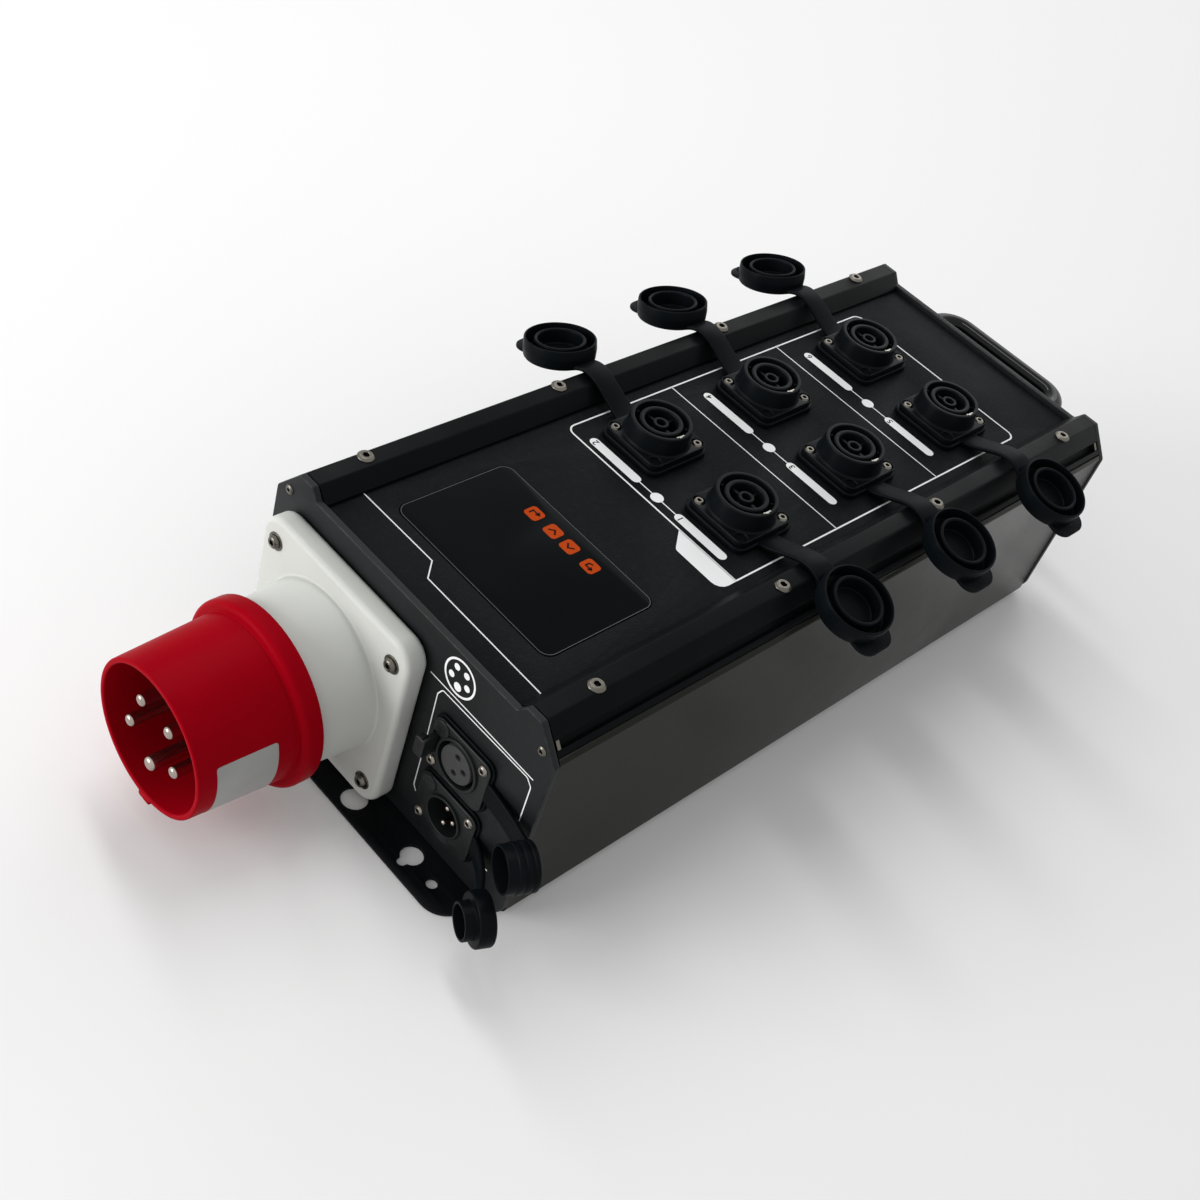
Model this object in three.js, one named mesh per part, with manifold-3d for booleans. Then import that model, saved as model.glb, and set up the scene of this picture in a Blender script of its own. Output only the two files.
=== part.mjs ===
// A six-way stage dimmer pack: a long sheet-metal box between two end plates, held at its
// upper edges by extruded rails. A five-pin mains inlet and two data connectors sit on the
// front plate, six round locking outlets with tethered rubber caps on the top panel, and a
// carrying bow on the rear plate. The whole box stands on a wider base plate with keyholes.
// Millimetres. X runs across the pack, Y from the inlet to the handle, Z up. The origin is
// the middle of the base plate's underside.
import * as THREE from "three";
import { mergeVertices } from "three/addons/utils/BufferGeometryUtils.js";
import Module from "manifold-3d";

const wasm = await Module();
wasm.setup();

// Driving dimensions
const clearance = 0.3; // gap between pieces that lie on each other or pass through
const overrun = 2; // how far a cut runs past the face that it opens

const base = { thickness: 1.5, width: 140, flangeLength: 19.3, cornerRadius: 8 };
const hangingHole = { radius: 5, x: 6.1, fromEdge: 8.2 };
const keyhole = { headRadius: 4.75, slotRadius: 2.1, x: 39.4, fromEdge: 10.7, slotLength: 5 };
const fixingHole = { radius: 2.4, x: 53.7, fromEdge: 9 };

const housing = { length: 364.6, width: 160.8, height: 103.9, plate: 3, cornerRadius: 8 };
const shoulder = { width: 11.4, height: 13.7, radius: 3 };
const ear = { width: 7.8, slope: 3.6, notchDepth: 4.75, radius: 1 };
const shell = { wall: 2, inset: 0.4, foldRadius: 4, innerFoldRadius: 2 };
const panel = { width: 124, thickness: 2, sunk: 2.35 };
const rail = { wall: 2, height: 11.4, lipReach: 6.4, lipHeight: 0.9, ledgeReach: 4, edgeRadius: 1.2 };
const railGroove = { fromEar: 8.4, width: 2.7, depth: 1.5 };
const display = { width: 88, length: 57.1, frontGap: 26.8, cornerRadius: 5, thickness: 2.2 };

const outletGrid = { x: 25.3, spacing: 71.9, middleY: 40.4 };
const outlet = {
  flangeWidth: 30,
  flangeLength: 32,
  flangeHeight: 3.6,
  flangeCorner: 4,
  flangeEdge: 0.5,
  bodyRadius: 12.4,
  bodyDepth: 24,
  bossRadius: 14.4,
  bossTaper: 0.5,
  bossHeight: 6.6,
  grooveRadius: 12.8,
  grooveDepth: 8,
  ringRadius: 9,
  ringWall: 1,
  ringSunk: 0.6,
  pillarRadius: 3.4,
  pillarSunk: 1.6,
  bladeWidth: 1.4,
  bladeSunk: 3,
  keyWidth: 2.4,
  keyReach: 1.4,
  keySunk: 1.8,
  screwX: 12.1,
  screwY: 13.3,
  screwRecess: 3.4,
  screwRecessDepth: 1.4,
};
const gasket = { width: 31, length: 33, thickness: 2.7, corner: 4.4 };
const cap = {
  radius: 16.2,
  height: 9,
  skirt: 1.2,
  floor: 2.2,
  edge: 0.6,
  ringRadius: 12,
  ringWall: 1.2,
  ringSunk: 0.8,
  tabReach: 4.6,
  tabWidth: 18,
  engaged: 2.5,
};
const capRest = { x: 89, aboveRoof: 3.7, tiltDegrees: 15 };
const strap = { width: 12, thickness: 2, split: 0.3 };

const inlet = {
  x: -28.6,
  z: 46.9,
  flangeSize: 88,
  flangeDepth: 10,
  flangeCorner: 10,
  flangeEdge: 2.5,
  neckRadius: 35,
  neckTipRadius: 33.2,
  neckFillet: 1,
  neckLength: 25.2,
  boreRadius: 26,
  spigotRadius: 29.5,
  spigotDepth: 6,
};
const shroud = {
  collarRadius: 37.5,
  collarLength: 9,
  collarEdge: 1.6,
  rootRadius: 34.6,
  rimRadius: 31.2,
  length: 49,
  wall: 2.3,
  rimEdge: 0.8,
  seatDepth: 5.7,
  seatRadius: 26.3,
  keyWidth: 6,
  keyHeight: 2.6,
  keyLength: 16,
};
const insert = { thickness: 4.7, plugRadius: 25.6, plugLength: 18 };
const pin = { circle: 14.6, radius: 2.5, earthRadius: 3, sunk: 2, length: 62 };

const xlr = {
  flangeWidth: 31,
  flangeHeight: 26,
  flangeThickness: 2,
  flangeCorner: 4,
  bodyRadius: 11.7,
  bodyDepth: 20,
  sealMargin: 1,
  sealThickness: 1,
  contactCircle: 4.3,
};
const xlrFemale = {
  x: 42.3,
  z: 56.1,
  boreRadius: 10.4,
  boreDepth: 13.6,
  insertRadius: 7.4,
  insertSunk: 0.5,
  holeRadius: 1.4,
  holeDepth: 7,
};
const xlrMale = { x: 43.6, z: 26.4, boreRadius: 9.8, boreDepth: 12.6, pinRadius: 1.2, pinSunk: 1.2 };
const latch = { x: 12.8, width: 2.8, height: 9, proud: 4, depth: 5.6, travel: 1.5 };
const xlrCapRest = { turnDegrees: 156, strapWidth: 10, strapThickness: 1.8 };
const femaleCap = {
  radius: 9.4,
  wall: 1.2,
  length: 13,
  floor: 2,
  ribHeight: 0.5,
  ribWidth: 1.4,
  ribPitch: 3.1,
  ribCount: 3,
  engaged: 1.6,
  restX: 86,
  restOut: 19.2,
};
const maleCap = {
  radius: 10.6,
  length: 9.5,
  edge: 0.6,
  plugRadius: 7.4,
  plugWall: 1.1,
  plugLength: 4.4,
  floor: 2.4,
  engaged: 2,
  restX: 82.5,
  restOut: 27.2,
};

const handle = { width: 82, reach: 28, thickness: 9.4, bendRadius: 9, belowRoof: 19.3 };

const board = { length: 226, thickness: 1.6, aboveFloor: 10.2, sideGap: 14, rearGap: 18.3 };
const standoff = { radius: 3.2, insetX: 7, insetY: 8 };
const heatSink = { x: -38, width: 30, height: 34, endGap: 18, foot: 4, finThickness: 2, finCount: 6 };
const choke = { x: 34, wire: 5, gap: 2, endGap: 28, count: 6 };
const displayModule = { width: 76, length: 40, height: 9 };
const controlBoard = { width: 96, length: 62, thickness: 1.6 };
const terminal = { width: 62, length: 22, height: 26, wayRadius: 4, wayDepth: 12, ways: 5, gapToPlate: 25 };

// Places that follow from the sizes
const halfLength = housing.length / 2;
const halfWidth = housing.width / 2;
const halfShell = halfWidth - shell.inset;
const halfPanel = panel.width / 2;
const bottomZ = base.thickness + clearance;
const roofZ = bottomZ + housing.height;
const notchZ = roofZ - ear.notchDepth;
const panelZ = notchZ - panel.sunk;
const railBottomZ = roofZ - rail.height;
const earOuterX = halfWidth - shoulder.width;
const earInnerX = earOuterX - ear.width;
const shellLength = housing.length - 2 * housing.plate - 2 * clearance;
const floorZ = bottomZ + shell.wall;
const outletYs = [-1, 0, 1].map((step) => outletGrid.middleY + step * outletGrid.spacing);

// Heights on an outlet, counted from the panel's face
const gasketTop = clearance + gasket.thickness;
const flangeBottom = gasketTop + clearance;
const flangeTop = flangeBottom + outlet.flangeHeight;
const bossTop = flangeTop + outlet.bossHeight;

// Heights on a data connector, counted outwards from the front plate's face
const sealFront = clearance + xlr.sealThickness;
const xlrBack = sealFront + clearance;
const xlrFace = xlrBack + xlr.flangeThickness;

// Facets of the round pieces
const segments = {
  large: 26,
  outlet: 16,
  keyhole: 10,
  pin: 8,
  slim: 6,
  choke: 5,
  smallArc: 1,
  arc: 2,
  wideArc: 3,
  bowSteps: 16,
};

const materials = {
  endPlate: new THREE.MeshStandardMaterial({ color: 0x2b2d30, roughness: 0.6, metalness: 0.3 }),
  sidePanel: new THREE.MeshStandardMaterial({ color: 0x17181b, roughness: 0.18, metalness: 0.4 }),
  rail: new THREE.MeshStandardMaterial({ color: 0x101113, roughness: 0.35, metalness: 0.6 }),
  topPanel: new THREE.MeshStandardMaterial({ color: 0x222427, roughness: 0.75, metalness: 0.2 }),
  glass: new THREE.MeshStandardMaterial({ color: 0x050506, roughness: 0.06, metalness: 0.1 }),
  rubber: new THREE.MeshStandardMaterial({ color: 0x131518, roughness: 0.55, metalness: 0 }),
  outletBody: new THREE.MeshStandardMaterial({ color: 0x0e0f12, roughness: 0.4, metalness: 0 }),
  red: new THREE.MeshStandardMaterial({ color: 0xb4001c, roughness: 0.35, metalness: 0 }),
  white: new THREE.MeshStandardMaterial({ color: 0xdcdcda, roughness: 0.45, metalness: 0 }),
  nickel: new THREE.MeshStandardMaterial({ color: 0xc9c7c0, roughness: 0.25, metalness: 1 }),
  blackMetal: new THREE.MeshStandardMaterial({ color: 0x0b0c0e, roughness: 0.3, metalness: 0.5 }),
  board: new THREE.MeshStandardMaterial({ color: 0x0f4a2c, roughness: 0.5, metalness: 0 }),
  aluminium: new THREE.MeshStandardMaterial({ color: 0xa7abb0, roughness: 0.4, metalness: 1 }),
  copper: new THREE.MeshStandardMaterial({ color: 0xb06a35, roughness: 0.4, metalness: 1 }),
  green: new THREE.MeshStandardMaterial({ color: 0x2f8f4e, roughness: 0.5, metalness: 0 }),
};

// Joining and cutting closed meshes
function solidOf(geometry) {
  const bare = geometry.clone();
  bare.deleteAttribute("normal");
  bare.deleteAttribute("uv");
  const merged = mergeVertices(bare);
  const corners = merged.index.array;
  const kept = [];
  for (let i = 0; i < corners.length; i += 3) {
    const [a, b, c] = corners.slice(i, i + 3);
    if (a !== b && b !== c && c !== a) kept.push(a, b, c);
  }
  return new wasm.Manifold(
    new wasm.Mesh({
      numProp: 3,
      vertProperties: merged.attributes.position.array,
      triVerts: new Uint32Array(kept),
    }),
  );
}

function geometryOf(solid) {
  const mesh = solid.getMesh();
  const geometry = new THREE.BufferGeometry();
  geometry.setAttribute("position", new THREE.BufferAttribute(mesh.vertProperties, mesh.numProp));
  geometry.setIndex(new THREE.BufferAttribute(mesh.triVerts, 1));
  geometry.computeVertexNormals();
  return geometry;
}

function joined(first, ...others) {
  return geometryOf(others.reduce((sum, other) => sum.add(solidOf(other)), solidOf(first)));
}

function cut(body, ...tools) {
  return geometryOf(tools.reduce((rest, tool) => rest.subtract(solidOf(tool)), solidOf(body)));
}

function common(first, second) {
  return geometryOf(solidOf(first).intersect(solidOf(second)));
}

// Shapes. An outline is a list of corners [x, y, radius], counter-clockwise.
function outline(corners) {
  const shape = new THREE.Shape();
  corners.forEach(([x, y, radius = 0], i) => {
    if (radius === 0) {
      if (i === 0) shape.moveTo(x, y);
      else shape.lineTo(x, y);
      return;
    }
    const corner = new THREE.Vector2(x, y);
    const [beforeX, beforeY] = corners.at(i - 1);
    const [afterX, afterY] = corners[(i + 1) % corners.length];
    const toBefore = new THREE.Vector2(beforeX, beforeY).sub(corner).normalize();
    const toAfter = new THREE.Vector2(afterX, afterY).sub(corner).normalize();
    const halfAngle = Math.acos(toBefore.dot(toAfter)) / 2;
    const centre = toBefore.clone().add(toAfter).normalize();
    centre.multiplyScalar(radius / Math.sin(halfAngle)).add(corner);
    const reach = radius / Math.tan(halfAngle);
    const start = toBefore.clone().multiplyScalar(reach).add(corner).sub(centre);
    const end = toAfter.clone().multiplyScalar(reach).add(corner).sub(centre);
    const clockwise = toBefore.cross(toAfter) > 0;
    shape.absarc(centre.x, centre.y, radius, start.angle(), end.angle(), clockwise);
  });
  shape.closePath();
  return shape;
}

function rectangle(x, y, width, height, radius) {
  const corner = (sideX, sideY) => [x + (sideX * width) / 2, y + (sideY * height) / 2, radius];
  return outline([corner(-1, -1), corner(1, -1), corner(1, 1), corner(-1, 1)]);
}

// A round hole whose facets line up with those of the round piece that goes through it
function circle(x, y, radius, sides) {
  const points = Array.from({ length: sides }, (_, i) => {
    const angle = (i / sides) * 2 * Math.PI - Math.PI / 2;
    return new THREE.Vector2(x + radius * Math.cos(angle), y + radius * Math.sin(angle));
  });
  return new THREE.Path(points);
}

function prism(shape, from, to, arc = segments.arc) {
  const options = { depth: to - from, bevelEnabled: false, curveSegments: arc };
  return new THREE.ExtrudeGeometry(shape, options).translate(0, 0, from);
}

function block(x, y, z, width, length, height) {
  return new THREE.BoxGeometry(width, length, height).translate(x, y, z + height / 2);
}

// A slab whose upper edge is rounded: the upper half of a plate that is rounded on both sides
function softSlab(shape, from, to, edge, arc = segments.arc) {
  const height = to - from;
  const plate = new THREE.ExtrudeGeometry(shape, {
    depth: 2 * (height - edge),
    bevelThickness: edge,
    bevelSize: edge,
    bevelOffset: -edge,
    bevelSegments: Math.max(1, arc - 1),
    curveSegments: arc,
  });
  plate.translate(0, 0, edge - height);
  plate.computeBoundingBox();
  const size = plate.boundingBox.getSize(new THREE.Vector3());
  const middle = plate.boundingBox.getCenter(new THREE.Vector3());
  const upper = block(middle.x, middle.y, 0, size.x + overrun, size.y + overrun, size.z);
  return common(plate, upper).translate(0, 0, from);
}

// A solid of revolution about Z from a profile of [radius, height] points. The profile runs
// from the axis along the underside, up the outside and back to the axis, or closes on itself.
function revolved(profile, sides) {
  const points = profile.map(([radius, height]) => new THREE.Vector2(radius, height));
  return new THREE.LatheGeometry(points, sides).rotateX(Math.PI / 2);
}

function rod(x, y, radius, from, to, sides) {
  const profile = [
    [0, from],
    [radius, from],
    [radius, to],
    [0, to],
  ];
  return revolved(profile, sides).translate(x, y, 0);
}

function piece(parent, name, geometry, material) {
  const mesh = new THREE.Mesh(geometry, material);
  mesh.name = name;
  parent.add(mesh);
  return mesh;
}

function group(parent, x, y, z) {
  const child = new THREE.Group();
  child.position.set(x, y, z);
  parent.add(child);
  return child;
}

// The centre of the turn that carries one point and its direction onto another, in a plane
function turnCentre(from, to, turn) {
  const travel = to.clone().sub(from);
  const sideways = new THREE.Vector2(-travel.y, travel.x);
  const middle = from.clone().add(to).multiplyScalar(1 / 2);
  return middle.add(sideways.multiplyScalar(1 / (2 * Math.tan(turn / 2))));
}

// Base plate with its two fixing flanges. The keyhole slots point the same way on both, so
// that the pack drops onto its screws.
function basePlate() {
  const edgeY = halfLength + base.flangeLength;
  const plate = rectangle(0, 0, base.width, 2 * edgeY, base.cornerRadius);
  plate.holes.push(circle(hangingHole.x, hangingHole.fromEdge - edgeY, hangingHole.radius, segments.outlet));
  for (const side of [-1, 1]) {
    const x = side * keyhole.x;
    for (const end of [-1, 1]) {
      const fixingY = end * (edgeY - fixingHole.fromEdge);
      plate.holes.push(circle(side * fixingHole.x, fixingY, fixingHole.radius, segments.pin));
      plate.holes.push(keyholePath(x, end * (edgeY - keyhole.fromEdge)));
    }
  }
  return prism(plate, 0, base.thickness, segments.wideArc);
}

// A round head hole that runs into a narrow slot towards the inlet end
function keyholePath(x, y) {
  const { headRadius, slotRadius, slotLength } = keyhole;
  const lean = Math.asin(slotRadius / headRadius);
  const down = -Math.PI / 2;
  const head = new THREE.EllipseCurve(x, y, headRadius, headRadius, down + lean, down - lean + 2 * Math.PI);
  const foot = new THREE.EllipseCurve(x, y - slotLength, slotRadius, slotRadius, Math.PI, 2 * Math.PI);
  return new THREE.Path([...head.getPoints(segments.keyhole), ...foot.getPoints(segments.pin / 2)]);
}

// Where the sloping shoulder stands at a height, and how far along it a distance reaches
const shoulderSlope = Math.atan2(shoulder.height, shoulder.width);
function shoulderX(z) {
  return earOuterX + (roofZ - z) / Math.tan(shoulderSlope);
}
function onShoulder(along, depth) {
  const x = earOuterX + along * Math.cos(shoulderSlope) - depth * Math.sin(shoulderSlope);
  const z = roofZ - along * Math.sin(shoulderSlope) - depth * Math.cos(shoulderSlope);
  return [x, z];
}

// End plate, drawn across and up: two ears stand over the rails, with a notch for the panel
function endPlate() {
  const notchX = earInnerX - ear.slope;
  const right = [
    [halfWidth, bottomZ, housing.cornerRadius],
    [halfWidth, roofZ - shoulder.height, shoulder.radius],
    [earOuterX, roofZ, ear.radius],
    [earInnerX, roofZ, ear.radius],
    [notchX, notchZ, ear.radius],
  ];
  const left = right.map(([x, z, radius]) => [-x, z, radius]).reverse();
  return outline([...right, ...left]);
}

// Folded U-shaped lower shell, drawn across and up
function lowerShell() {
  const topZ = railBottomZ - clearance;
  const outer = shoulderX(topZ);
  const kneeZ = roofZ - (halfShell - earOuterX) * Math.tan(shoulderSlope);
  const inner = halfShell - shell.wall;
  const right = [
    [halfShell, bottomZ, shell.foldRadius],
    [halfShell, kneeZ],
    [outer, topZ],
    [inner, topZ],
    [inner, floorZ, shell.innerFoldRadius],
  ];
  const left = right.map(([x, z, radius]) => [-x, z, radius]).reverse();
  return outline([...right, ...left]);
}

// Extruded rail, drawn across and up: a lip over the panel and a ledge under it, a screw
// channel inside, and a long groove in the sloping outer face
function railProfile() {
  const slotX = halfPanel + clearance;
  const lipX = halfPanel - rail.lipReach;
  const ledgeX = halfPanel - rail.ledgeReach;
  const slotTop = panelZ + clearance;
  const slotBottom = panelZ - panel.thickness - clearance;
  const grooveEnd = railGroove.fromEar + railGroove.width;
  const profile = outline([
    [ledgeX, railBottomZ],
    [shoulderX(railBottomZ), railBottomZ],
    onShoulder(grooveEnd, 0),
    onShoulder(grooveEnd, railGroove.depth),
    onShoulder(railGroove.fromEar, railGroove.depth),
    onShoulder(railGroove.fromEar, 0),
    [earOuterX, roofZ, rail.edgeRadius],
    [earInnerX, roofZ, rail.edgeRadius],
    [lipX, slotTop + rail.lipHeight],
    [lipX, slotTop],
    [slotX, slotTop],
    [slotX, slotBottom],
    [ledgeX, slotBottom],
  ]);
  const channelTop = roofZ - rail.wall;
  const channelBottom = railBottomZ + rail.wall;
  const channelSide = (railGroove.depth + rail.wall) / Math.sin(shoulderSlope);
  profile.holes.push(
    outline([
      [slotX + rail.wall, channelBottom],
      [shoulderX(channelBottom) - channelSide, channelBottom],
      [shoulderX(channelTop) - channelSide, channelTop],
      [slotX + rail.wall, channelTop],
    ]),
  );
  return profile;
}

// Top panel with the display's opening and a hole for each outlet's body
const displayY = -halfLength + display.frontGap + display.length / 2;
function topPanel() {
  const plate = rectangle(0, 0, panel.width, shellLength, 0);
  const openWidth = display.width + 2 * clearance;
  const openLength = display.length + 2 * clearance;
  plate.holes.push(rectangle(0, displayY, openWidth, openLength, display.cornerRadius + clearance));
  for (const y of outletYs) {
    for (const side of [-1, 1]) {
      plate.holes.push(circle(side * outletGrid.x, y, outlet.bodyRadius + clearance, segments.outlet));
    }
  }
  return prism(plate, panelZ - panel.thickness, panelZ);
}

// Locking outlet: a screw-down flange, a boss with a deep keyed groove, an inner ring and a
// centre pillar with contact blades between them
function outletBody() {
  const bossTip = outlet.bossRadius - outlet.bossTaper;
  const grooveFloor = bossTop - outlet.grooveDepth;
  const ringTop = bossTop - outlet.ringSunk;
  const ringInner = outlet.ringRadius - outlet.ringWall;
  const body = revolved(
    [
      [0, -outlet.bodyDepth],
      [outlet.bodyRadius, -outlet.bodyDepth],
      [outlet.bodyRadius, flangeBottom],
      [outlet.bossRadius, flangeBottom],
      [outlet.bossRadius, flangeTop],
      [bossTip, bossTop],
      [outlet.grooveRadius, bossTop],
      [outlet.grooveRadius, grooveFloor],
      [outlet.ringRadius, grooveFloor],
      [outlet.ringRadius, ringTop],
      [ringInner, ringTop],
      [ringInner, grooveFloor],
      [0, grooveFloor],
    ],
    segments.outlet,
  );
  const footprint = rectangle(0, 0, outlet.flangeWidth, outlet.flangeLength, outlet.flangeCorner);
  const flange = cut(
    softSlab(footprint, flangeBottom, flangeTop, outlet.flangeEdge, segments.smallArc),
    rod(0, 0, outlet.grooveRadius, flangeBottom - overrun, flangeTop + overrun, segments.outlet),
  );
  const pillarFoot = grooveFloor - outlet.ringWall;
  const pillar = rod(0, 0, outlet.pillarRadius, pillarFoot, bossTop - outlet.pillarSunk, segments.pin);
  const bladeReach = ringInner + outlet.ringWall / 2;
  const bladeHeight = outlet.grooveDepth - outlet.bladeSunk;
  const across = block(0, 0, grooveFloor, 2 * bladeReach, outlet.bladeWidth, bladeHeight);
  const along = block(0, 0, grooveFloor, outlet.bladeWidth, 2 * bladeReach, bladeHeight);
  const keyHeight = outlet.grooveDepth - outlet.keySunk;
  const keyWall = (outlet.bossRadius - outlet.grooveRadius) / 2;
  const keys = [-1, 1].map((side) => {
    const keyY = side * (outlet.grooveRadius + (keyWall - outlet.keyReach) / 2);
    return block(0, keyY, grooveFloor, outlet.keyWidth, outlet.keyReach + keyWall, keyHeight);
  });
  const recessFloor = flangeTop - outlet.screwRecessDepth;
  const recesses = [-1, 1].map((side) =>
    rod(
      side * outlet.screwX,
      side * outlet.screwY,
      outlet.screwRecess,
      recessFloor,
      flangeTop + overrun,
      segments.pin,
    ),
  );
  return cut(joined(body, flange, pillar, across, along, ...keys), ...recesses);
}

// Strap between a seal and its cap, drawn as a side view along a smooth route and extruded
// across its width. The bend shares place its two control points between the ends.
const strapSteps = 10;
function strapBetween(start, end, bendShares, thickness, width) {
  const span = end.clone().sub(start);
  const bends = bendShares.map(([x, y]) => new THREE.Vector2(span.x * x, span.y * y).add(start));
  const route = new THREE.CubicBezierCurve(start, bends[0], bends[1], end);
  const upper = [];
  const lower = [];
  for (let i = 0; i <= strapSteps; i += 1) {
    const point = route.getPoint(i / strapSteps);
    const along = route.getTangent(i / strapSteps);
    const offset = new THREE.Vector2(-along.y, along.x).multiplyScalar(thickness / 2);
    upper.push(point.clone().add(offset));
    lower.push(point.clone().sub(offset));
  }
  const side = new THREE.Shape([...lower, ...upper.reverse()]);
  return prism(side, -width / 2, width / 2).rotateX(Math.PI / 2);
}

// The two ends of a strap, on either side of the line that it bends about
function strapHalves(whole, bendX) {
  whole.computeBoundingBox();
  const middle = whole.boundingBox.getCenter(new THREE.Vector3());
  const reach = 2 * whole.boundingBox.getSize(new THREE.Vector3()).length();
  const fromBend = (strap.split + reach) / 2;
  const [root, tip] = [-1, 1].map((side) => {
    const half = block(bendX + side * fromBend, middle.y, middle.z - reach / 2, reach, reach, reach);
    return common(whole, half);
  });
  return { root, tip };
}

// A cap at rest stands beside what it closes. Its rim's centre and its tilt are given in the
// side view, and it turns over its strap, by half a turn and the tilt, until its rim lies on
// the closed place.
function cappedBy(rim, closed, tiltDegrees) {
  const tilt = THREE.MathUtils.degToRad(tiltDegrees);
  const bend = turnCentre(rim, closed, Math.PI + tilt);
  const at = (side, out) => new THREE.Vector2(side, out).rotateAround(new THREE.Vector2(), -tilt).add(rim);
  const place = (geometry) => geometry.rotateY(tilt).translate(rim.x, 0, rim.y);
  return { bend, at, place };
}

// Outlet cap: an outer skirt and an inner ring on a round floor, with a pull tab
function outletCup() {
  const floorTop = cap.floor - cap.height;
  const skirtInner = cap.radius - cap.skirt;
  const ringInner = cap.ringRadius - cap.ringWall;
  const cup = revolved(
    [
      [0, -cap.height],
      [cap.radius - cap.edge, -cap.height],
      [cap.radius, -cap.edge],
      [cap.radius - cap.edge, 0],
      [skirtInner, 0],
      [skirtInner, floorTop],
      [cap.ringRadius, floorTop],
      [cap.ringRadius, -cap.ringSunk],
      [ringInner, -cap.ringSunk],
      [ringInner, floorTop],
      [0, floorTop],
    ],
    segments.outlet,
  );
  const tip = cap.radius + cap.tabReach;
  const tab = outline([
    [cap.ringRadius, -cap.tabWidth / 2],
    [tip, -cap.tabWidth / 2, cap.tabReach],
    [tip, cap.tabWidth / 2, cap.tabReach],
    [cap.ringRadius, cap.tabWidth / 2],
  ]);
  return joined(cup, prism(tab, -cap.height, floorTop, segments.smallArc));
}

// Seal under an outlet's flange, with the first half of the strap, and the cap with the rest
const outletBendShares = [
  [0.4, 0.3],
  [0.69, 2.75],
];
function sealAndCap() {
  const rim = new THREE.Vector2(capRest.x - outletGrid.x, roofZ + capRest.aboveRoof - panelZ);
  const closed = new THREE.Vector2(0, bossTop - cap.engaged);
  const { bend, at, place } = cappedBy(rim, closed, capRest.tiltDegrees);
  const startX = (outlet.bodyRadius + outlet.bossRadius) / 2;
  const start = new THREE.Vector2(startX, gasketTop - strap.thickness / 2);
  const end = at(2 * cap.skirt - cap.radius, strap.thickness / 2 - cap.height);
  const whole = strapBetween(start, end, outletBendShares, strap.thickness, strap.width);
  const { root, tip } = strapHalves(whole, bend.x);
  const footprint = rectangle(0, 0, gasket.width, gasket.length, gasket.corner);
  footprint.holes.push(circle(0, 0, outlet.bodyRadius + clearance, segments.outlet));
  return {
    seal: joined(prism(footprint, clearance, gasketTop, segments.smallArc), root),
    cap: joined(place(outletCup()), tip),
  };
}

// Mains inlet, drawn outwards from the front plate: a square flange with a filleted neck and
// a spigot that goes through the plate
const inletFlangeTop = clearance + inlet.flangeDepth;
const neckEnd = inletFlangeTop + inlet.neckLength;
function inletFlange() {
  const filletSteps = 2;
  const fillet = Array.from({ length: filletSteps + 1 }, (_, i) => {
    const angle = (i / filletSteps) * (Math.PI / 2);
    const radius = inlet.neckRadius + inlet.neckFillet * (1 - Math.sin(angle));
    return [radius, inletFlangeTop + inlet.neckFillet * (1 - Math.cos(angle))];
  });
  const neck = revolved(
    [
      [inlet.boreRadius, -inlet.spigotDepth],
      [inlet.spigotRadius, -inlet.spigotDepth],
      [inlet.spigotRadius, inlet.flangeDepth / 2],
      [inlet.neckRadius, inlet.flangeDepth / 2],
      ...fillet,
      [inlet.neckTipRadius, neckEnd],
      [inlet.boreRadius, neckEnd],
      [inlet.boreRadius, -inlet.spigotDepth],
    ],
    segments.large,
  );
  const footprint = rectangle(0, 0, inlet.flangeSize, inlet.flangeSize, inlet.flangeCorner);
  const flange = softSlab(footprint, clearance, inletFlangeTop, inlet.flangeEdge, segments.wideArc);
  const bore = rod(0, 0, inlet.spigotRadius - overrun, -overrun, neckEnd, segments.large);
  return joined(cut(flange, bore), neck);
}

// Shroud: a collar against the neck and a tapered tube round the pins, with the key outside
// its rim. Its inside narrows to a seat for the pin carrier.
const shroudFoot = neckEnd + clearance;
function shroudInner(height) {
  const rim = shroud.rimRadius - shroud.wall;
  const seat = shroud.rootRadius - shroud.wall;
  return seat + ((rim - seat) * (height - shroud.seatDepth)) / (shroud.length - shroud.seatDepth);
}
function inletShroud() {
  const tube = revolved(
    [
      [shroud.seatRadius, 0],
      [shroud.collarRadius - shroud.collarEdge, 0],
      [shroud.collarRadius, shroud.collarEdge],
      [shroud.collarRadius, shroud.collarLength - shroud.collarEdge],
      [shroud.collarRadius - shroud.collarEdge, shroud.collarLength],
      [shroud.rootRadius, shroud.collarLength],
      [shroud.rimRadius, shroud.length - shroud.rimEdge],
      [shroud.rimRadius - shroud.rimEdge, shroud.length],
      [shroudInner(shroud.length), shroud.length],
      [shroudInner(shroud.seatDepth), shroud.seatDepth],
      [shroud.seatRadius, shroud.seatDepth],
      [shroud.seatRadius, 0],
    ],
    segments.large,
  );
  const keyTop = shroud.wall / 2 - shroud.rimRadius;
  const keyBottom = -shroud.rimRadius - shroud.keyHeight;
  const key = outline([
    [-shroud.keyWidth / 2, keyBottom, shroud.rimEdge],
    [shroud.keyWidth / 2, keyBottom, shroud.rimEdge],
    [shroud.keyWidth / 2, keyTop],
    [-shroud.keyWidth / 2, keyTop],
  ]);
  const ridge = prism(key, shroud.length - shroud.keyLength, shroud.length - shroud.rimEdge);
  return joined(tube, ridge).translate(0, 0, shroudFoot);
}

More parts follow.
